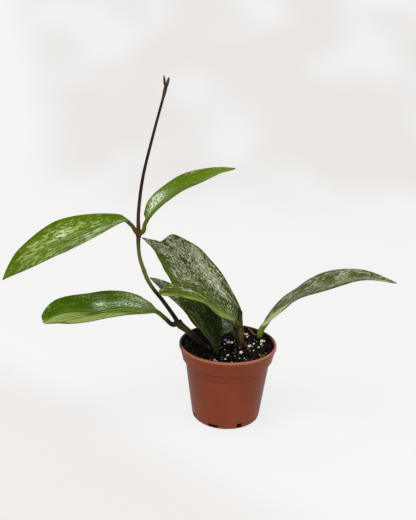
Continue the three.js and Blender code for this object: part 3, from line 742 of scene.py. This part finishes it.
# Centre cutting: a short bare stem, olive-brown with reddish streaks, cut off at a slant and dried at
# the cut. It is swept like the vine and cut by a plane, and the cut face is closed.
CENTRE_PATH = [(11.2, -3, 38), (11.4, -2.5, 52), (11.1, -1, 64), (10.2, 0.5, 73), (9.5, 2, 82), (9.1, 4, 98)]
CENTRE_RADII = [(0, 2.3), (0.3, 2.4), (0.5, 2.4), (0.62, 2.75), (0.7, 2.3), (0.8, 2.05), (1, 1.85)]
CUTTING_COLOURS = [
    (0.0, 0.020, 0.012, 0.006), (0.45, 0.026, 0.015, 0.006), (0.52, 0.070, 0.044, 0.012),
    (0.60, 0.095, 0.088, 0.012), (0.70, 0.058, 0.052, 0.010), (0.86, 0.040, 0.034, 0.010),
    (0.91, 0.022, 0.012, 0.008), (1.0, 0.014, 0.007, 0.006),
]
CUT_PLACE = Vector((9.2, 3.2, 93.6))
CUT_FACING = Vector((0.66, -0.1, 0.75))
verts, faces, way = swept(CENTRE_PATH, CENTRE_RADII, 0.6, 24, 0.10, 61.0)
centre_stem_skin = new_piece("centre_stem_skin", verts, faces)
painted(centre_stem_skin, "way", way)
centre_stem_skin.data.materials.append(stem_material("cutting_skin", CUTTING_COLOURS, 0.75, 2.0, 0.75))
sliced = bmesh.new()
sliced.from_mesh(centre_stem_skin.data)
cut = bmesh.ops.bisect_plane(
    sliced, geom=sliced.verts[:] + sliced.edges[:] + sliced.faces[:], plane_co=CUT_PLACE * MM,
    plane_no=CUT_FACING.normalized(), clear_outer=True,
)
rim = [e for e in cut["geom_cut"] if isinstance(e, bmesh.types.BMEdge)]
bmesh.ops.contextual_create(sliced, geom=rim)
sliced.to_mesh(centre_stem_skin.data)
sliced.free()
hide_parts("centre_stem")
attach(centre_stem_skin, "root")

# Leaves: eight long firm blades with a waxy skin, a shallow fold along the midrib and a stout stalk.
# Each is lofted along its own spine, thick at the midrib and rounded at the margin, and its skin is
# green with pale splashes that run out from the midrib like the veins.
BLADE_EDGE = 0.62
BLADE_MIDDLE = 1.25
TIP_HALF_WIDTH = 0.3
MARGIN_WAVE = 0.5
GROOVE_DEPTH = 0.38
RIB_DEPTH = 0.55
BLADE_RINGS = 150
STALK_RINGS = 26
BLADE_POINTS = 31
VEIN_ANGLE = math.radians(11)
# the colour of the painted sheen on the leaves
PAINTED_SHEEN_WHITE = (0.70, 0.78, 0.58)


def smooth_step(low, high, value):
    t = np.clip((value - low) / (high - low), 0, 1)
    return t * t * (3 - 2 * t)


def pool(u, v, spots):
    """Adds up soft spots (place along, place across, spread along, spread across, amount) over a blade."""
    total = np.zeros((len(u), v.shape[1]))
    for along, across, reach_along, reach_across, amount in spots:
        total += amount * np.exp(-(((u - along) / reach_along) ** 2) - ((v - across) / reach_across) ** 2)
    return total


def fleshy(shader):
    """Lets a little light into a leaf."""
    shader.inputs["Subsurface Weight"].default_value = 0.12
    shader.inputs["Subsurface Radius"].default_value = (0.5, 1.0, 0.2)
    shader.inputs["Subsurface Scale"].default_value = 0.0015


def stretched(tree, name, along, across, step=1.0):
    """A stored vector scaled along and across, for noise drawn out along the leaf."""
    return put(tree, "ShaderNodeMapping", {"Vector": stored(tree, name), "Scale": (along, across, step)})


def faded(strength, value, low, high):
    """How far a soft spot shows where a noise runs from low to high."""
    both = {0: strength, 1: spread(value, low, high)}
    return put(strength.tree, "ShaderNodeMath", both, operation="MULTIPLY", use_clamp=True)


def leaf_material(
    name, greens, pales, amount, fleck, stem, curls=0.0, glowing=(0.20, 0.30, 0.02), soft=0.035,
    foot=(-16.0, -1.0),
):
    """Waxy upper skin: green between two tones, with flecks between two pale ones. amount sets how much of
    the leaf they cover, fleck is the width and length of one in millimetres, soft how far its edges
    fade, curls how far dark curly lines break them up, and stem the colours of its stalk's foot and neck,
    which change between the two places of foot, measured from the blade. Over this it paints a whitish
    sheen, a yellow-green glow of light along pale bands near its margins, and shade along its rounded margin."""
    material, tree, shader = new_material(name, 0.36, 0.02, (0.9, 1.0, 0.5))
    along, across, margin = three_parts(stored(tree, "blade"))
    splash, tone, on_blade = three_parts(stored(tree, "look"))
    # wash holds where a whitish sheen is painted, where streaks show and where a glow is painted.
    white, streaks, glow = three_parts(stored(tree, "wash"))
    drifts = clouds(stretched(tree, "vein", 0.07, 0.20), 1.0, 2.0, 0.5, 0.3)
    flecks = clouds(stretched(tree, "vein", 1 / fleck[1], 1 / fleck[0]), 1.0, 3.0, 0.55, 0.5)
    grain = clouds(stretched(tree, "vein", 2.3 / fleck[1], 2.0 / fleck[0], 1.7), 1.0, 2.0, 0.6)
    threads = clouds(stretched(tree, "blade", 0.03, 0.8, 0.0), 1.0, 3.0, 0.6, 0.4)
    ripples = clouds(stretched(tree, "vein", 0.16, 0.55), 1.0, 3.0, 0.6)
    dark = greens[0]
    pale_green = [0.6 * p + 0.4 * g for p, g in zip(pales[1], greens[1])]
    glow_mix = mix(spread(grain, 0.4, 0.62), glowing, times(glowing, 0.62))
    midrib = abs(across)

    tint = mix(spread(tone + drifts, 0.2, 0.95), *greens)
    tint = mix(spread(grain, 0.5, 0.65, 0.0, 0.35), tint, times(dark, 0.5))
    field = flecks * 0.42 + grain * 0.33 + drifts * 0.25 + splash * 0.06
    field = field - spread(abs(flecks - 0.5), 0.0, 0.03, 0.16 * curls, 0.0)
    threshold = 0.5175 - amount
    patches = spread(field, threshold - soft / 2, threshold + soft / 2)
    tint = mix(spread(field, 0.44 - amount, 0.50 - amount, 0.0, 0.4), tint, times(dark, 0.4))
    tint = mix(patches * 0.92, tint, mix(spread(flecks, 0.4, 0.62), *pales))

    # Painted glow on real pale bands: yellow-green light shining through the pale margins where glow is set.
    tint = mix(spread(glow + (threads - 0.5) * 2.0, 0.35, 0.65, 0.0, 0.9), tint, glow_mix)
    tint = mix(faded(streaks, threads, 0.52, 0.46), tint, times(dark, 0.7))
    tint = mix(faded(streaks, threads, 0.52, 0.60), tint, pale_green)
    # Painted sheen: whitish highlights laid into the colour where white is set.
    tint = mix(faded(white, threads * 0.45 + flecks * 0.55, 0.44, 0.60), tint, PAINTED_SHEEN_WHITE)
    tint = mix(spread(midrib, 0.5, 1.3, 0.12, 0.0), tint, pales[1])
    tint = mix(spread(midrib, 0.15, 0.45, 0.55, 0.0), tint, times(dark, 0.5))
    # Painted shade: a dark outline along the rounded margin.
    tint = mix(spread(abs(margin), 0.95, 0.98, 0.0, 0.9), tint, times(dark, 0.3))
    tint = mix(on_blade, mix(spread(along, *foot), *stem), tint)
    tint.feed(shader.inputs["Base Color"])
    spread(patches, 0.0, 1.0, 0.36, 0.46).feed(shader.inputs["Roughness"])
    fleshy(shader)
    bump(shader, ripples + grain * 0.3, 0.0006)
    return material


def underside_material(name, colour, rib):
    """Matt underside: paler green, with the midrib standing out."""
    material, tree, shader = new_material(name, 0.55, 0.05, (0.9, 1.0, 0.6))
    midrib = abs(three_parts(stored(tree, "blade"))[1])
    mottle = clouds(stretched(tree, "vein", 0.2, 0.7), 1.0, 4.0, 0.6)
    tint = mix(spread(mottle, 0.3, 0.75), colour, times(colour, 1.35))
    mix(spread(midrib, 0.5, 1.5, 0.7, 0.0), tint, rib).feed(shader.inputs["Base Color"])
    fleshy(shader)
    bump(shader, mottle, 0.0004)
    return material


leaf_underside = underside_material("leaf_underside", (0.090, 0.130, 0.035), (0.17, 0.21, 0.07))


def leaf(
    cad_node, spine, stalk, widths, face, twist, fold, seed, skin, stalk_radius=1.6, flare=(0.0, 0.06),
    splash=(), tone=(), white=(), streaks=(), glow=(),
):
    """One leaf. widths holds (place, left, right) half widths along the blade, face is the way its upper side
    looks, twist the degrees it turns from that and flare where the blade begins and ends to open out of
    its stalk. skin holds what leaf_material needs, and the last lists hold the soft spots of its pattern;
    white places its painted sheen and glow its painted glow."""
    line, travelled = smooth_line(spine)
    blade_length = travelled[-1] - stalk
    stalk_places = -stalk / blade_length * (1 - np.arange(STALK_RINGS) / STALK_RINGS)
    place = np.r_[stalk_places, np.linspace(0, 1, BLADE_RINGS) ** 0.97]
    distance = stalk + place * blade_length
    centre = read_line(line, travelled, distance)[:, None, :]
    tangent = heading(line, travelled, distance, 1)
    on_blade = np.clip(place, 0, 1)
    neck = stalk_radius * 0.7
    rows, _ = smooth_line([(0, neck, neck), *widths, (1, TIP_HALF_WIDTH, TIP_HALF_WIDTH)], 400)
    left, right = [np.interp(on_blade, rows[:, 0], rows[:, k])[:, None] for k in (1, 2)]
    look = np.asarray(face, float)
    up = unit(look - tangent * (tangent @ look)[:, None])
    turn = np.radians(np.interp(on_blade, np.linspace(0, 1, len(twist)), twist))[:, None]
    up = up * np.cos(turn) + np.cross(tangent, up) * np.sin(turn)
    side = np.cross(tangent, up)[:, None, :]
    up = up[:, None, :]
    flat = smooth_step(*flare, place)[:, None, None]

    half_turn = np.linspace(-math.pi / 2, math.pi / 2, BLADE_POINTS)
    round_out = np.cos(half_turn)[None, :, None]
    u, v = on_blade[:, None], np.sin(half_turn)[None, :]
    width = np.where(v < 0, left, right) * v
    lag = np.where(v < 0, 0.0, 1.9)
    wave = MARGIN_WAVE * v**2 * np.sin(math.pi * u) * np.sin(4.4 * math.pi * u + lag)
    rise = np.abs(width) * (math.sin(math.radians(fold)) - 0.05 * np.abs(v)) + wave
    body = np.sin(math.pi * np.clip(u, 0.02, 0.98)) ** 0.4
    groove = GROOVE_DEPTH * np.exp(-((width / 1.0) ** 2)) * body
    rib = RIB_DEPTH * np.exp(-((width / 1.3) ** 2)) * body
    thick = (BLADE_EDGE + (BLADE_MIDDLE - BLADE_EDGE) * (1 - np.abs(v)) ** 2) / 2 * np.sqrt(1 - v**10)
    keel = stalk_radius * np.exp(-((u / 0.07) ** 2) - (width / stalk_radius) ** 2)
    swelling = 1 + 0.28 * np.exp(-(((distance - 2.0) / 3.0) ** 2))
    radius = (stalk_radius * swelling)[:, None, None]
    reach = (width * math.cos(math.radians(fold)))[..., None] * side
    layers = []
    for layer, extra in ((1, 0.4 * keel - groove), (-1, -0.8 * keel - rib)):
        lift = rise + layer * thick + extra
        blade_layer = centre + reach + lift[..., None] * up
        stalk_layer = centre + radius * v[..., None] * side + layer * radius * round_out * up
        layers.append(stalk_layer * (1 - flat) + blade_layer * flat)
    rings = np.concatenate([layers[0], layers[1][:, -2:0:-1, :]], axis=1)
    count = rings.shape[1]
    piece = new_piece("hoya_" + cad_node, (rings.reshape(-1, 3) * MM).tolist(), ring_faces(len(place), count))

    def paint(name, *fields):
        """Stores three fields over the upper side, and the same under it."""
        fields = [np.broadcast_to(field, width.shape) for field in fields]
        both_sides = [np.concatenate([field, field[:, -2:0:-1]], axis=1) for field in fields]
        painted(piece, name, np.stack(both_sides, -1).reshape(-1, 3))

    along, away = np.broadcast_to((place * blade_length)[:, None], width.shape), np.abs(width)
    vein_along = along * math.cos(VEIN_ANGLE) + away * math.sin(VEIN_ANGLE)
    vein_across = away * math.cos(VEIN_ANGLE) - along * math.sin(VEIN_ANGLE)
    paint("blade", along, width, v)
    paint("vein", vein_along, vein_across, np.where(width < 0, seed + 0.5, seed) * 10)
    paint("look", pool(u, v, splash), pool(u, v, tone), flat[:, :, 0])
    # the painted sheen, the streaks and the painted glow
    paint("wash", pool(u, v, white), pool(u, v, streaks), pool(u, v, glow))
    piece.data.materials.append(leaf_material(cad_node.replace("leaf_", "leaf_skin_"), **skin))
    piece.data.materials.append(leaf_underside)
    first_points = [face.vertices[0] for face in piece.data.polygons]
    is_under = [int(p % count >= BLADE_POINTS - 1 and flat[p // count, 0, 0] > 0.2) for p in first_points]
    piece.data.polygons.foreach_set("material_index", is_under)
    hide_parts(cad_node)
    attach(piece, "root")


leaf(
    "leaf_upper_left", stalk=13, face=(-0.2, -0.5, 0.85), twist=(11, -3, 12), fold=14, seed=1,
    spine=[
        (-73.4, 0, 157), (-75.8, -1, 159.7), (-79, -3.5, 165.1), (-85.5, -7.5, 170.2), (-101, -14, 167),
        (-130, -20, 156), (-154, -26, 142), (-174, -32, 127),
    ],
    widths=[
        (0.04, 4.5, 4.5), (0.1, 8.3, 8.3), (0.235, 13.5, 14), (0.425, 16.5, 17.8), (0.615, 16.6, 18.9),
        (0.81, 12.2, 14.8), (0.935, 5.3, 7.1),
    ],
    splash=[
        (0.50, 0.36, 0.22, 0.30, 1.2), (0.74, 0.30, 0.12, 0.30, 0.8), (0.60, -0.5, 0.35, 0.40, 0.4),
        (0.5, 0.98, 0.8, 0.25, -1.8), (0.10, 0.5, 0.14, 0.5, -1.2), (1.0, 0.0, 0.15, 1.5, -1.8),
    ],
    tone=[(0.45, 0.1, 0.3, 0.5, 0.25), (0.8, -0.5, 0.3, 0.5, 0.1)],
    white=[(0.28, -0.6, 0.15, 0.28, 0.55), (0.50, 0.27, 0.06, 0.16, 0.8)],
    streaks=[(0.30, -0.55, 0.30, 0.35, 1.0), (0.55, -0.1, 0.25, 0.15, 0.6)],
    skin=dict(
        greens=((0.048, 0.094, 0.0003), (0.090, 0.165, 0.0005)),
        pales=((0.155, 0.235, 0.025), (0.30, 0.37, 0.125)),
        stem=((0.090, 0.030, 0.018), (0.070, 0.075, 0.008)),
        amount=-0.015, fleck=(2.0, 5.0), soft=0.13,
    ),
)
leaf(
    "leaf_upper_right", stalk=12, face=(-0.3, -0.2, 0.93), twist=(-6, -2, -5), fold=14, seed=2,
    spine=[
        (-73.4, 0, 157), (-69.5, 0.5, 159.5), (-67.8, 2.5, 166), (-58.5, 10, 179), (-43, 20, 189),
        (-19, 29, 199), (2, 38, 203.6),
    ],
    widths=[
        (0.04, 6, 5), (0.1, 9, 7.4), (0.2, 13.3, 11.4), (0.4, 17, 15.6), (0.6, 17, 15.6), (0.8, 13, 11),
        (0.93, 6.5, 5),
    ],
    splash=[(0.70, 0.95, 0.25, 0.25, 1.6), (0.35, 0.6, 0.4, 0.5, -0.8)],
    tone=[(0.5, 0.1, 0.5, 0.5, 0.2), (0.85, 0.2, 0.2, 0.8, 0.5)],
    white=[(0.23, -0.35, 0.09, 0.5, 1.5), (0.12, -0.3, 0.06, 0.35, 0.7)],
    streaks=[(0.15, 0.3, 0.2, 0.8, 0.2), (0.8, 0.9, 0.2, 0.2, 0.6)],
    glow=[(0.80, 0.95, 0.20, 0.22, 0.6)],
    skin=dict(
        greens=((0.055, 0.105, 0.0002), (0.100, 0.172, 0.0003)),
        pales=((0.20, 0.27, 0.05), (0.36, 0.42, 0.20)),
        stem=((0.045, 0.038, 0.008), (0.080, 0.110, 0.008)),
        amount=-0.085, fleck=(1.2, 3.0),
    ),
)
leaf(
    "leaf_lower_left", stalk=21, face=(-0.2, -0.4, 0.89), twist=(16, 1, -20), fold=14, seed=3,
    stalk_radius=1.8,
    spine=[
        (-41.5, -3, 83), (-46.1, -4, 82.4), (-51.6, -6, 88.3), (-58, -9, 94.9), (-66.8, -12.5, 98.4),
        (-85, -18, 102.5), (-107, -28, 102.5), (-129, -36, 102), (-141.7, -44, 97.6),
    ],
    widths=[
        (0.035, 6, 8), (0.08, 8.6, 11.4), (0.2, 13.7, 15.8), (0.4, 18, 18.2), (0.6, 16, 17), (0.8, 13, 14),
        (0.87, 10.9, 11.8), (0.93, 7.1, 8.8), (0.975, 3.6, 6.2), (0.992, 2.2, 4.0),
    ],
    splash=[(0.5, 0.2, 0.6, 0.6, -0.5), (0.15, 0.5, 0.2, 0.5, 0.9), (0.5, 0.3, 0.15, 0.4, 0.6)],
    tone=[(0.8, -0.7, 0.4, 0.4, 0.4), (0.3, 0.6, 0.4, 0.5, 0.0), (0.75, 0.3, 0.3, 0.5, -0.1)],
    white=[(0.51, 0.25, 0.05, 0.30, 0.9), (0.28, 0.10, 0.12, 0.16, 1.8), (0.18, 0.5, 0.1, 0.3, 0.5)],
    streaks=[(0.16, 0.6, 0.15, 0.5, 0.6), (0.55, -0.4, 0.35, 0.35, 0.9)],
    glow=[
        (0.95, -1.0, 0.10, 0.16, -1.6), (0.80, -0.50, 0.20, 0.45, 1.2), (0.50, -0.85, 0.16, 0.32, 0.8),
        (0.2, -0.8, 0.15, 0.4, 0.3),
    ],
    skin=dict(
        greens=((0.038, 0.088, 0.0005), (0.084, 0.150, 0.001)),
        pales=((0.24, 0.31, 0.06), (0.36, 0.43, 0.18)),
        stem=((0.022, 0.015, 0.006), (0.070, 0.100, 0.005)),
        amount=-0.050, fleck=(0.8, 1.6), glowing=(0.28, 0.35, 0.09), foot=(-13.0, 0.0),
    ),
)
leaf(
    "leaf_centre_back", stalk=9, face=(0.3, -0.8, 0.5), twist=(-7, -15, -2, 29), fold=8,
    seed=4, flare=(-0.03, 0.02),
    spine=[
        (9.9, 1, 76), (6, 5.5, 79.5), (-1, 12, 88), (-17, 20, 103), (-33, 25, 116.5), (-46.5, 28, 131.5),
        (-60, 29.5, 138), (-73.5, 30.5, 145),
    ],
    widths=[
        (0.03, 5, 8.8), (0.1, 9.5, 12), (0.22, 15.5, 15.2), (0.4, 20.5, 19.6), (0.6, 16.9, 21),
        (0.72, 16, 17), (0.8, 12.4, 15), (0.855, 7, 5.5), (0.89, 5, 4.5), (0.94, 3, 2.5),
    ],
    splash=[
        (0.58, -0.25, 0.12, 0.25, 0.9), (0.50, 0.55, 0.20, 0.22, 0.9), (0.66, -0.95, 0.30, 0.40, -2.8),
        (0.50, 0.13, 0.25, 0.10, -1.0), (0.63, 0.9, 0.12, 0.3, 0.7), (0.45, 1.0, 0.6, 0.08, -0.8),
        (0.10, 0.6, 0.10, 0.5, -1.3), (0.25, -0.2, 0.15, 0.3, -0.6), (0.76, 0.0, 0.08, 0.5, 0.4),
        (0.28, 0.35, 0.12, 0.24, 0.9),
    ],
    tone=[(0.66, -1.0, 0.3, 0.35, 0.4), (0.05, 0.0, 0.08, 1.0, -0.4), (0.2, 0.7, 0.3, 0.5, -0.4)],
    white=[(0.40, 0.45, 0.18, 0.12, 0.7), (0.60, -0.60, 0.06, 0.12, 0.8)],
    streaks=[(0.25, 0.6, 0.2, 0.4, 0.5)],
    skin=dict(
        greens=((0.034, 0.062, 0.008), (0.084, 0.128, 0.018)),
        pales=((0.28, 0.315, 0.18), (0.51, 0.485, 0.345)),
        stem=((0.040, 0.038, 0.010), (0.060, 0.066, 0.014)),
        amount=0.014, fleck=(0.85, 2.9), curls=0.9, soft=0.065,
    ),
)
leaf(
    "leaf_centre_front", stalk=11, face=(-0.1, -0.3, 0.95), twist=(-19, -7, -2), fold=12,
    seed=5,
    spine=[
        (9.2, 1.8, 80.5), (5.5, -4, 87), (0, -9, 93), (-12, -20, 104), (-26, -31, 117), (-39, -42, 124),
        (-53, -54, 127),
    ],
    widths=[
        (0.06, 7, 7), (0.2, 12, 12), (0.4, 15, 15), (0.6, 15, 15), (0.8, 11, 11), (0.93, 6.6, 6.6),
        (0.98, 3.8, 3.8),
    ],
    splash=[(0.22, -0.4, 0.20, 0.6, 3.4), (0.52, -0.1, 0.12, 0.4, 1.0), (0.75, -0.2, 0.2, 0.4, -0.4)],
    tone=[(0.35, -0.8, 0.3, 0.4, 0.4), (0.85, -0.3, 0.15, 0.5, 0.3)],
    white=[(0.66, 0.35, 0.07, 0.25, 0.6)],
    streaks=[(0.5, 0.2, 0.4, 0.5, 0.8)],
    glow=[(0.68, -0.90, 0.13, 0.32, 1.6), (0.2, -0.85, 0.2, 0.4, 0.4), (0.97, -0.6, 0.05, 0.5, 0.8)],
    skin=dict(
        greens=((0.020, 0.044, 0.0008), (0.080, 0.132, 0.002)),
        pales=((0.12, 0.18, 0.012), (0.30, 0.34, 0.11)),
        stem=((0.045, 0.045, 0.010), (0.080, 0.100, 0.012)),
        amount=-0.018, fleck=(1.3, 4.0), curls=0.3, glowing=(0.25, 0.35, 0.003), soft=0.04,
    ),
)
# Painted shade: this leaf's dark greens, pales and stalk, and the tone that darkens one half, stand for the
# shadow of the centre front leaf.
leaf(
    "leaf_shaded", stalk=20, face=(0.3, -0.8, 0.5), twist=(53, 22, 9), fold=12, seed=6,
    spine=[
        (-5.5, -17, 46), (-7.5, -19.5, 56), (-8.6, -19, 63.5), (-13, -14.8, 78.5), (-20, -9, 92),
        (-30, -5, 104), (-43, -2, 109),
    ],
    widths=[(0.06, 7, 7), (0.2, 12.6, 12), (0.4, 15.8, 15), (0.6, 15.6, 15), (0.8, 11, 11), (0.93, 4.5, 4.5)],
    splash=[(0.45, -0.7, 0.3, 0.4, 0.8)],
    tone=[(0.3, -0.8, 0.5, 0.35, 0.3), (0.5, 0.5, 0.6, 0.5, -0.3)],
    streaks=[(0.4, 0.0, 0.5, 0.8, 0.5)],
    glow=[(0.45, -0.95, 0.25, 0.22, 0.8)],
    skin=dict(
        greens=((0.008, 0.017, 0.002), (0.038, 0.058, 0.004)),
        pales=((0.09, 0.12, 0.03), (0.13, 0.16, 0.08)),
        stem=((0.008, 0.008, 0.003), (0.016, 0.020, 0.005)),
        amount=-0.05, fleck=(1.0, 3.2), glowing=(0.10, 0.16, 0.015),
    ),
)
leaf(
    "leaf_silver_low", stalk=10, face=(0.1, -0.8, 0.6), twist=(-28, 28, 48), fold=12, seed=7,
    spine=[
        (11, -0.2, 68), (6, 2.5, 70.5), (0, 3.5, 76.5), (-16, 3.5, 82), (-36, 4, 99), (-50, 4.5, 109),
        (-65, 7.5, 118),
    ],
    widths=[
        (0.06, 5.5, 7.5), (0.2, 9.5, 11), (0.4, 11.8, 11), (0.6, 11.2, 11), (0.8, 8.2, 8.2), (0.93, 4.6, 4.6),
    ],
    splash=[(0.5, 0.0, 0.8, 1.0, 0.3)],
    tone=[(0.8, 0.5, 0.3, 0.6, 0.1)],
    skin=dict(
        greens=((0.030, 0.048, 0.012), (0.060, 0.085, 0.025)),
        pales=((0.14, 0.18, 0.11), (0.25, 0.29, 0.21)),
        stem=((0.008, 0.010, 0.004), (0.028, 0.034, 0.010)),
        amount=0.0, fleck=(0.9, 3.4), curls=0.4,
    ),
)
leaf(
    "leaf_right", stalk=30, face=(-0.3, -0.1, 0.95), twist=(-3, 0, -8), fold=12, seed=8,
    stalk_radius=2.5,
    spine=[
        (24, 12, 43), (26.5, 15.5, 56), (28, 17, 70), (36, 15, 82.5), (50, 10, 99), (66, 4, 113),
        (101, -1, 126), (132, -5, 123.5),
    ],
    widths=[
        (0.05, 8.3, 7.2), (0.2, 15.3, 12.5), (0.4, 15.3, 15.3), (0.6, 16.6, 17), (0.8, 11.9, 11),
        (0.93, 5.5, 4.5),
    ],
    splash=[
        (0.6, 0.0, 0.4, 0.6, 0.3), (0.2, -0.5, 0.2, 0.5, -0.5), (0.55, 0.95, 0.35, 0.15, -1.2),
        (0.55, -0.95, 0.4, 0.15, -0.5), (0.41, -0.1, 0.05, 0.3, -1.2), (0.57, -0.1, 0.05, 0.3, -1.0),
        (0.75, -0.2, 0.05, 0.3, -1.1), (0.50, -0.2, 0.04, 0.3, 0.8), (0.67, 0.0, 0.05, 0.4, 0.8),
    ],
    tone=[(0.15, 0.3, 0.2, 0.8, 0.3)],
    streaks=[(0.4, 0.5, 0.5, 0.5, 0.5)],
    glow=[(0.90, 0.7, 0.09, 0.4, 0.55), (0.08, 0.5, 0.18, 0.60, 1.6)],
    skin=dict(
        greens=((0.046, 0.064, 0.010), (0.095, 0.122, 0.030)),
        pales=((0.20, 0.235, 0.125), (0.375, 0.355, 0.25)),
        stem=((0.006, 0.012, 0.002), (0.135, 0.19, 0.026)),
        amount=0.005, fleck=(1.3, 5.5), curls=0.4, glowing=(0.60, 0.68, 0.27), soft=0.06, foot=(-11.0, -3.0),
    ),
)

# Whip tip: the plant's two smallest leaves, still folded and dark, at the end of the long shoot. Each is
# swept like a stem, thickest below its middle.
LEFT_TIP_PATH = [(-53, 2, 270.0), (-54.0, 2, 274), (-54.6, 2, 279.6)]
RIGHT_TIP_PATH = [(-53, 2, 270.0), (-51.9, 2.4, 273.6), (-50.8, 3, 278)]
YOUNG_COLOURS = [(0.0, 0.024, 0.016, 0.010), (0.5, 0.060, 0.048, 0.028), (1.0, 0.030, 0.020, 0.012)]
left_tip = swept(LEFT_TIP_PATH, [(0, 0.9), (0.4, 1.05), (0.75, 0.75), (1, 0.15)], 0.4, 12, 0.08, 3.0)
right_tip = swept(RIGHT_TIP_PATH, [(0, 0.9), (0.4, 1.1), (0.8, 0.9), (1, 0.15)], 0.4, 12, 0.08, 5.0)
whip_tip = joined("whip_tip", [left_tip, right_tip])
painted(whip_tip, "way", left_tip[2] + right_tip[2])
whip_tip.data.materials.append(stem_material("young_leaf_skin", YOUNG_COLOURS, 0.3, 0.5, 0.0))
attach(whip_tip, "root")

# Floor and light: a plain pale studio sweep with faint painted soft shadows, a large soft light high up in
# front and to the left, and a weaker one low in front. The sweep gives off a little light of its own.
SWEEP_FRONT = -3.0
SWEEP_BACK = 1.0
SWEEP_BEND = 0.8
SWEEP_TOP = 3.5
SWEEP_HALF_WIDTH = 4.0
sweep_line = [(SWEEP_FRONT, 0.0), (SWEEP_BACK, 0.0)]
for a in np.linspace(0.1, math.pi / 2, 14):
    sweep_line.append((SWEEP_BACK + SWEEP_BEND * math.sin(a), SWEEP_BEND - SWEEP_BEND * math.cos(a)))
sweep_line.append((SWEEP_BACK + SWEEP_BEND, SWEEP_TOP))
floor = new_piece(
    "studio_sweep",
    [(x, y, z) for y, z in sweep_line for x in (-SWEEP_HALF_WIDTH, SWEEP_HALF_WIDTH)],
    [(2 * i, 2 * i + 1, 2 * i + 3, 2 * i + 2) for i in range(len(sweep_line) - 1)],
)
floor_material, floor_tree, floor_shader = new_material("pale_paper", 0.95, 0.0)
floor_shader.inputs["Base Color"].default_value = (0.10, 0.10, 0.10, 1.0)
floor_x, floor_y, floor_z = three_parts(object_place(floor_tree))
rising = floor_y * 0.31 + floor_z * 0.95
blots = clouds(put(floor_tree, "ShaderNodeCombineXYZ", {"X": floor_x, "Y": rising}), 3.4, 1.0, 0.5, 0.2)
# Painted shadows: soft darker warm zones, one up the back of the sweep broken by noise and one low at the
# front left.
back_shade = spread(rising, 0.15, 0.34) * spread(floor_x + floor_y * 0.11 + floor_z * 0.33, -0.33, -0.15)
back_shade = back_shade * spread(blots, 0.42, 0.66, 1.0, 0.25)
front_shade = spread(floor_x * -0.663 + floor_y * -0.749, 0.045, 0.12)
floor_tint = mix(spread(floor_y, 0.2, 1.3), (0.965, 0.962, 0.960), (1.0, 1.0, 0.998))
floor_tint = mix(back_shade.math("MAXIMUM", front_shade), floor_tint, (0.90, 0.865, 0.84))
floor_tint.feed(floor_shader.inputs["Emission Color"])
floor_shader.inputs["Emission Strength"].default_value = 0.83
floor.data.materials.append(floor_material)


def soft_light(name, place, target, size, power, colour=(1.0, 1.0, 1.0)):
    data = bpy.data.lights.new(name, "AREA")
    data.size = size
    data.energy = power
    data.color = colour
    lamp = bpy.data.objects.new(name, data)
    lamp.location = place
    lamp.rotation_euler = (Vector(target) - Vector(place)).to_track_quat("-Z", "Y").to_euler()
    bpy.context.scene.collection.objects.link(lamp)


soft_light("key_light", (-0.35, -0.45, 1.5), (-0.03, 0.0, 0.1), 1.1, 22.0, (1.0, 0.99, 0.97))
soft_light("fill_light", (0.3, -1.6, 0.5), (0.0, 0.0, 0.12), 1.2, 12.0)
world = bpy.data.worlds.new("studio")
world.use_nodes = True
world.node_tree.nodes["Background"].inputs["Color"].default_value = (1.0, 1.0, 1.0, 1.0)
world.node_tree.nodes["Background"].inputs["Strength"].default_value = 0.3
bpy.context.scene.world = world
bpy.context.scene.view_settings.view_transform = "Standard"
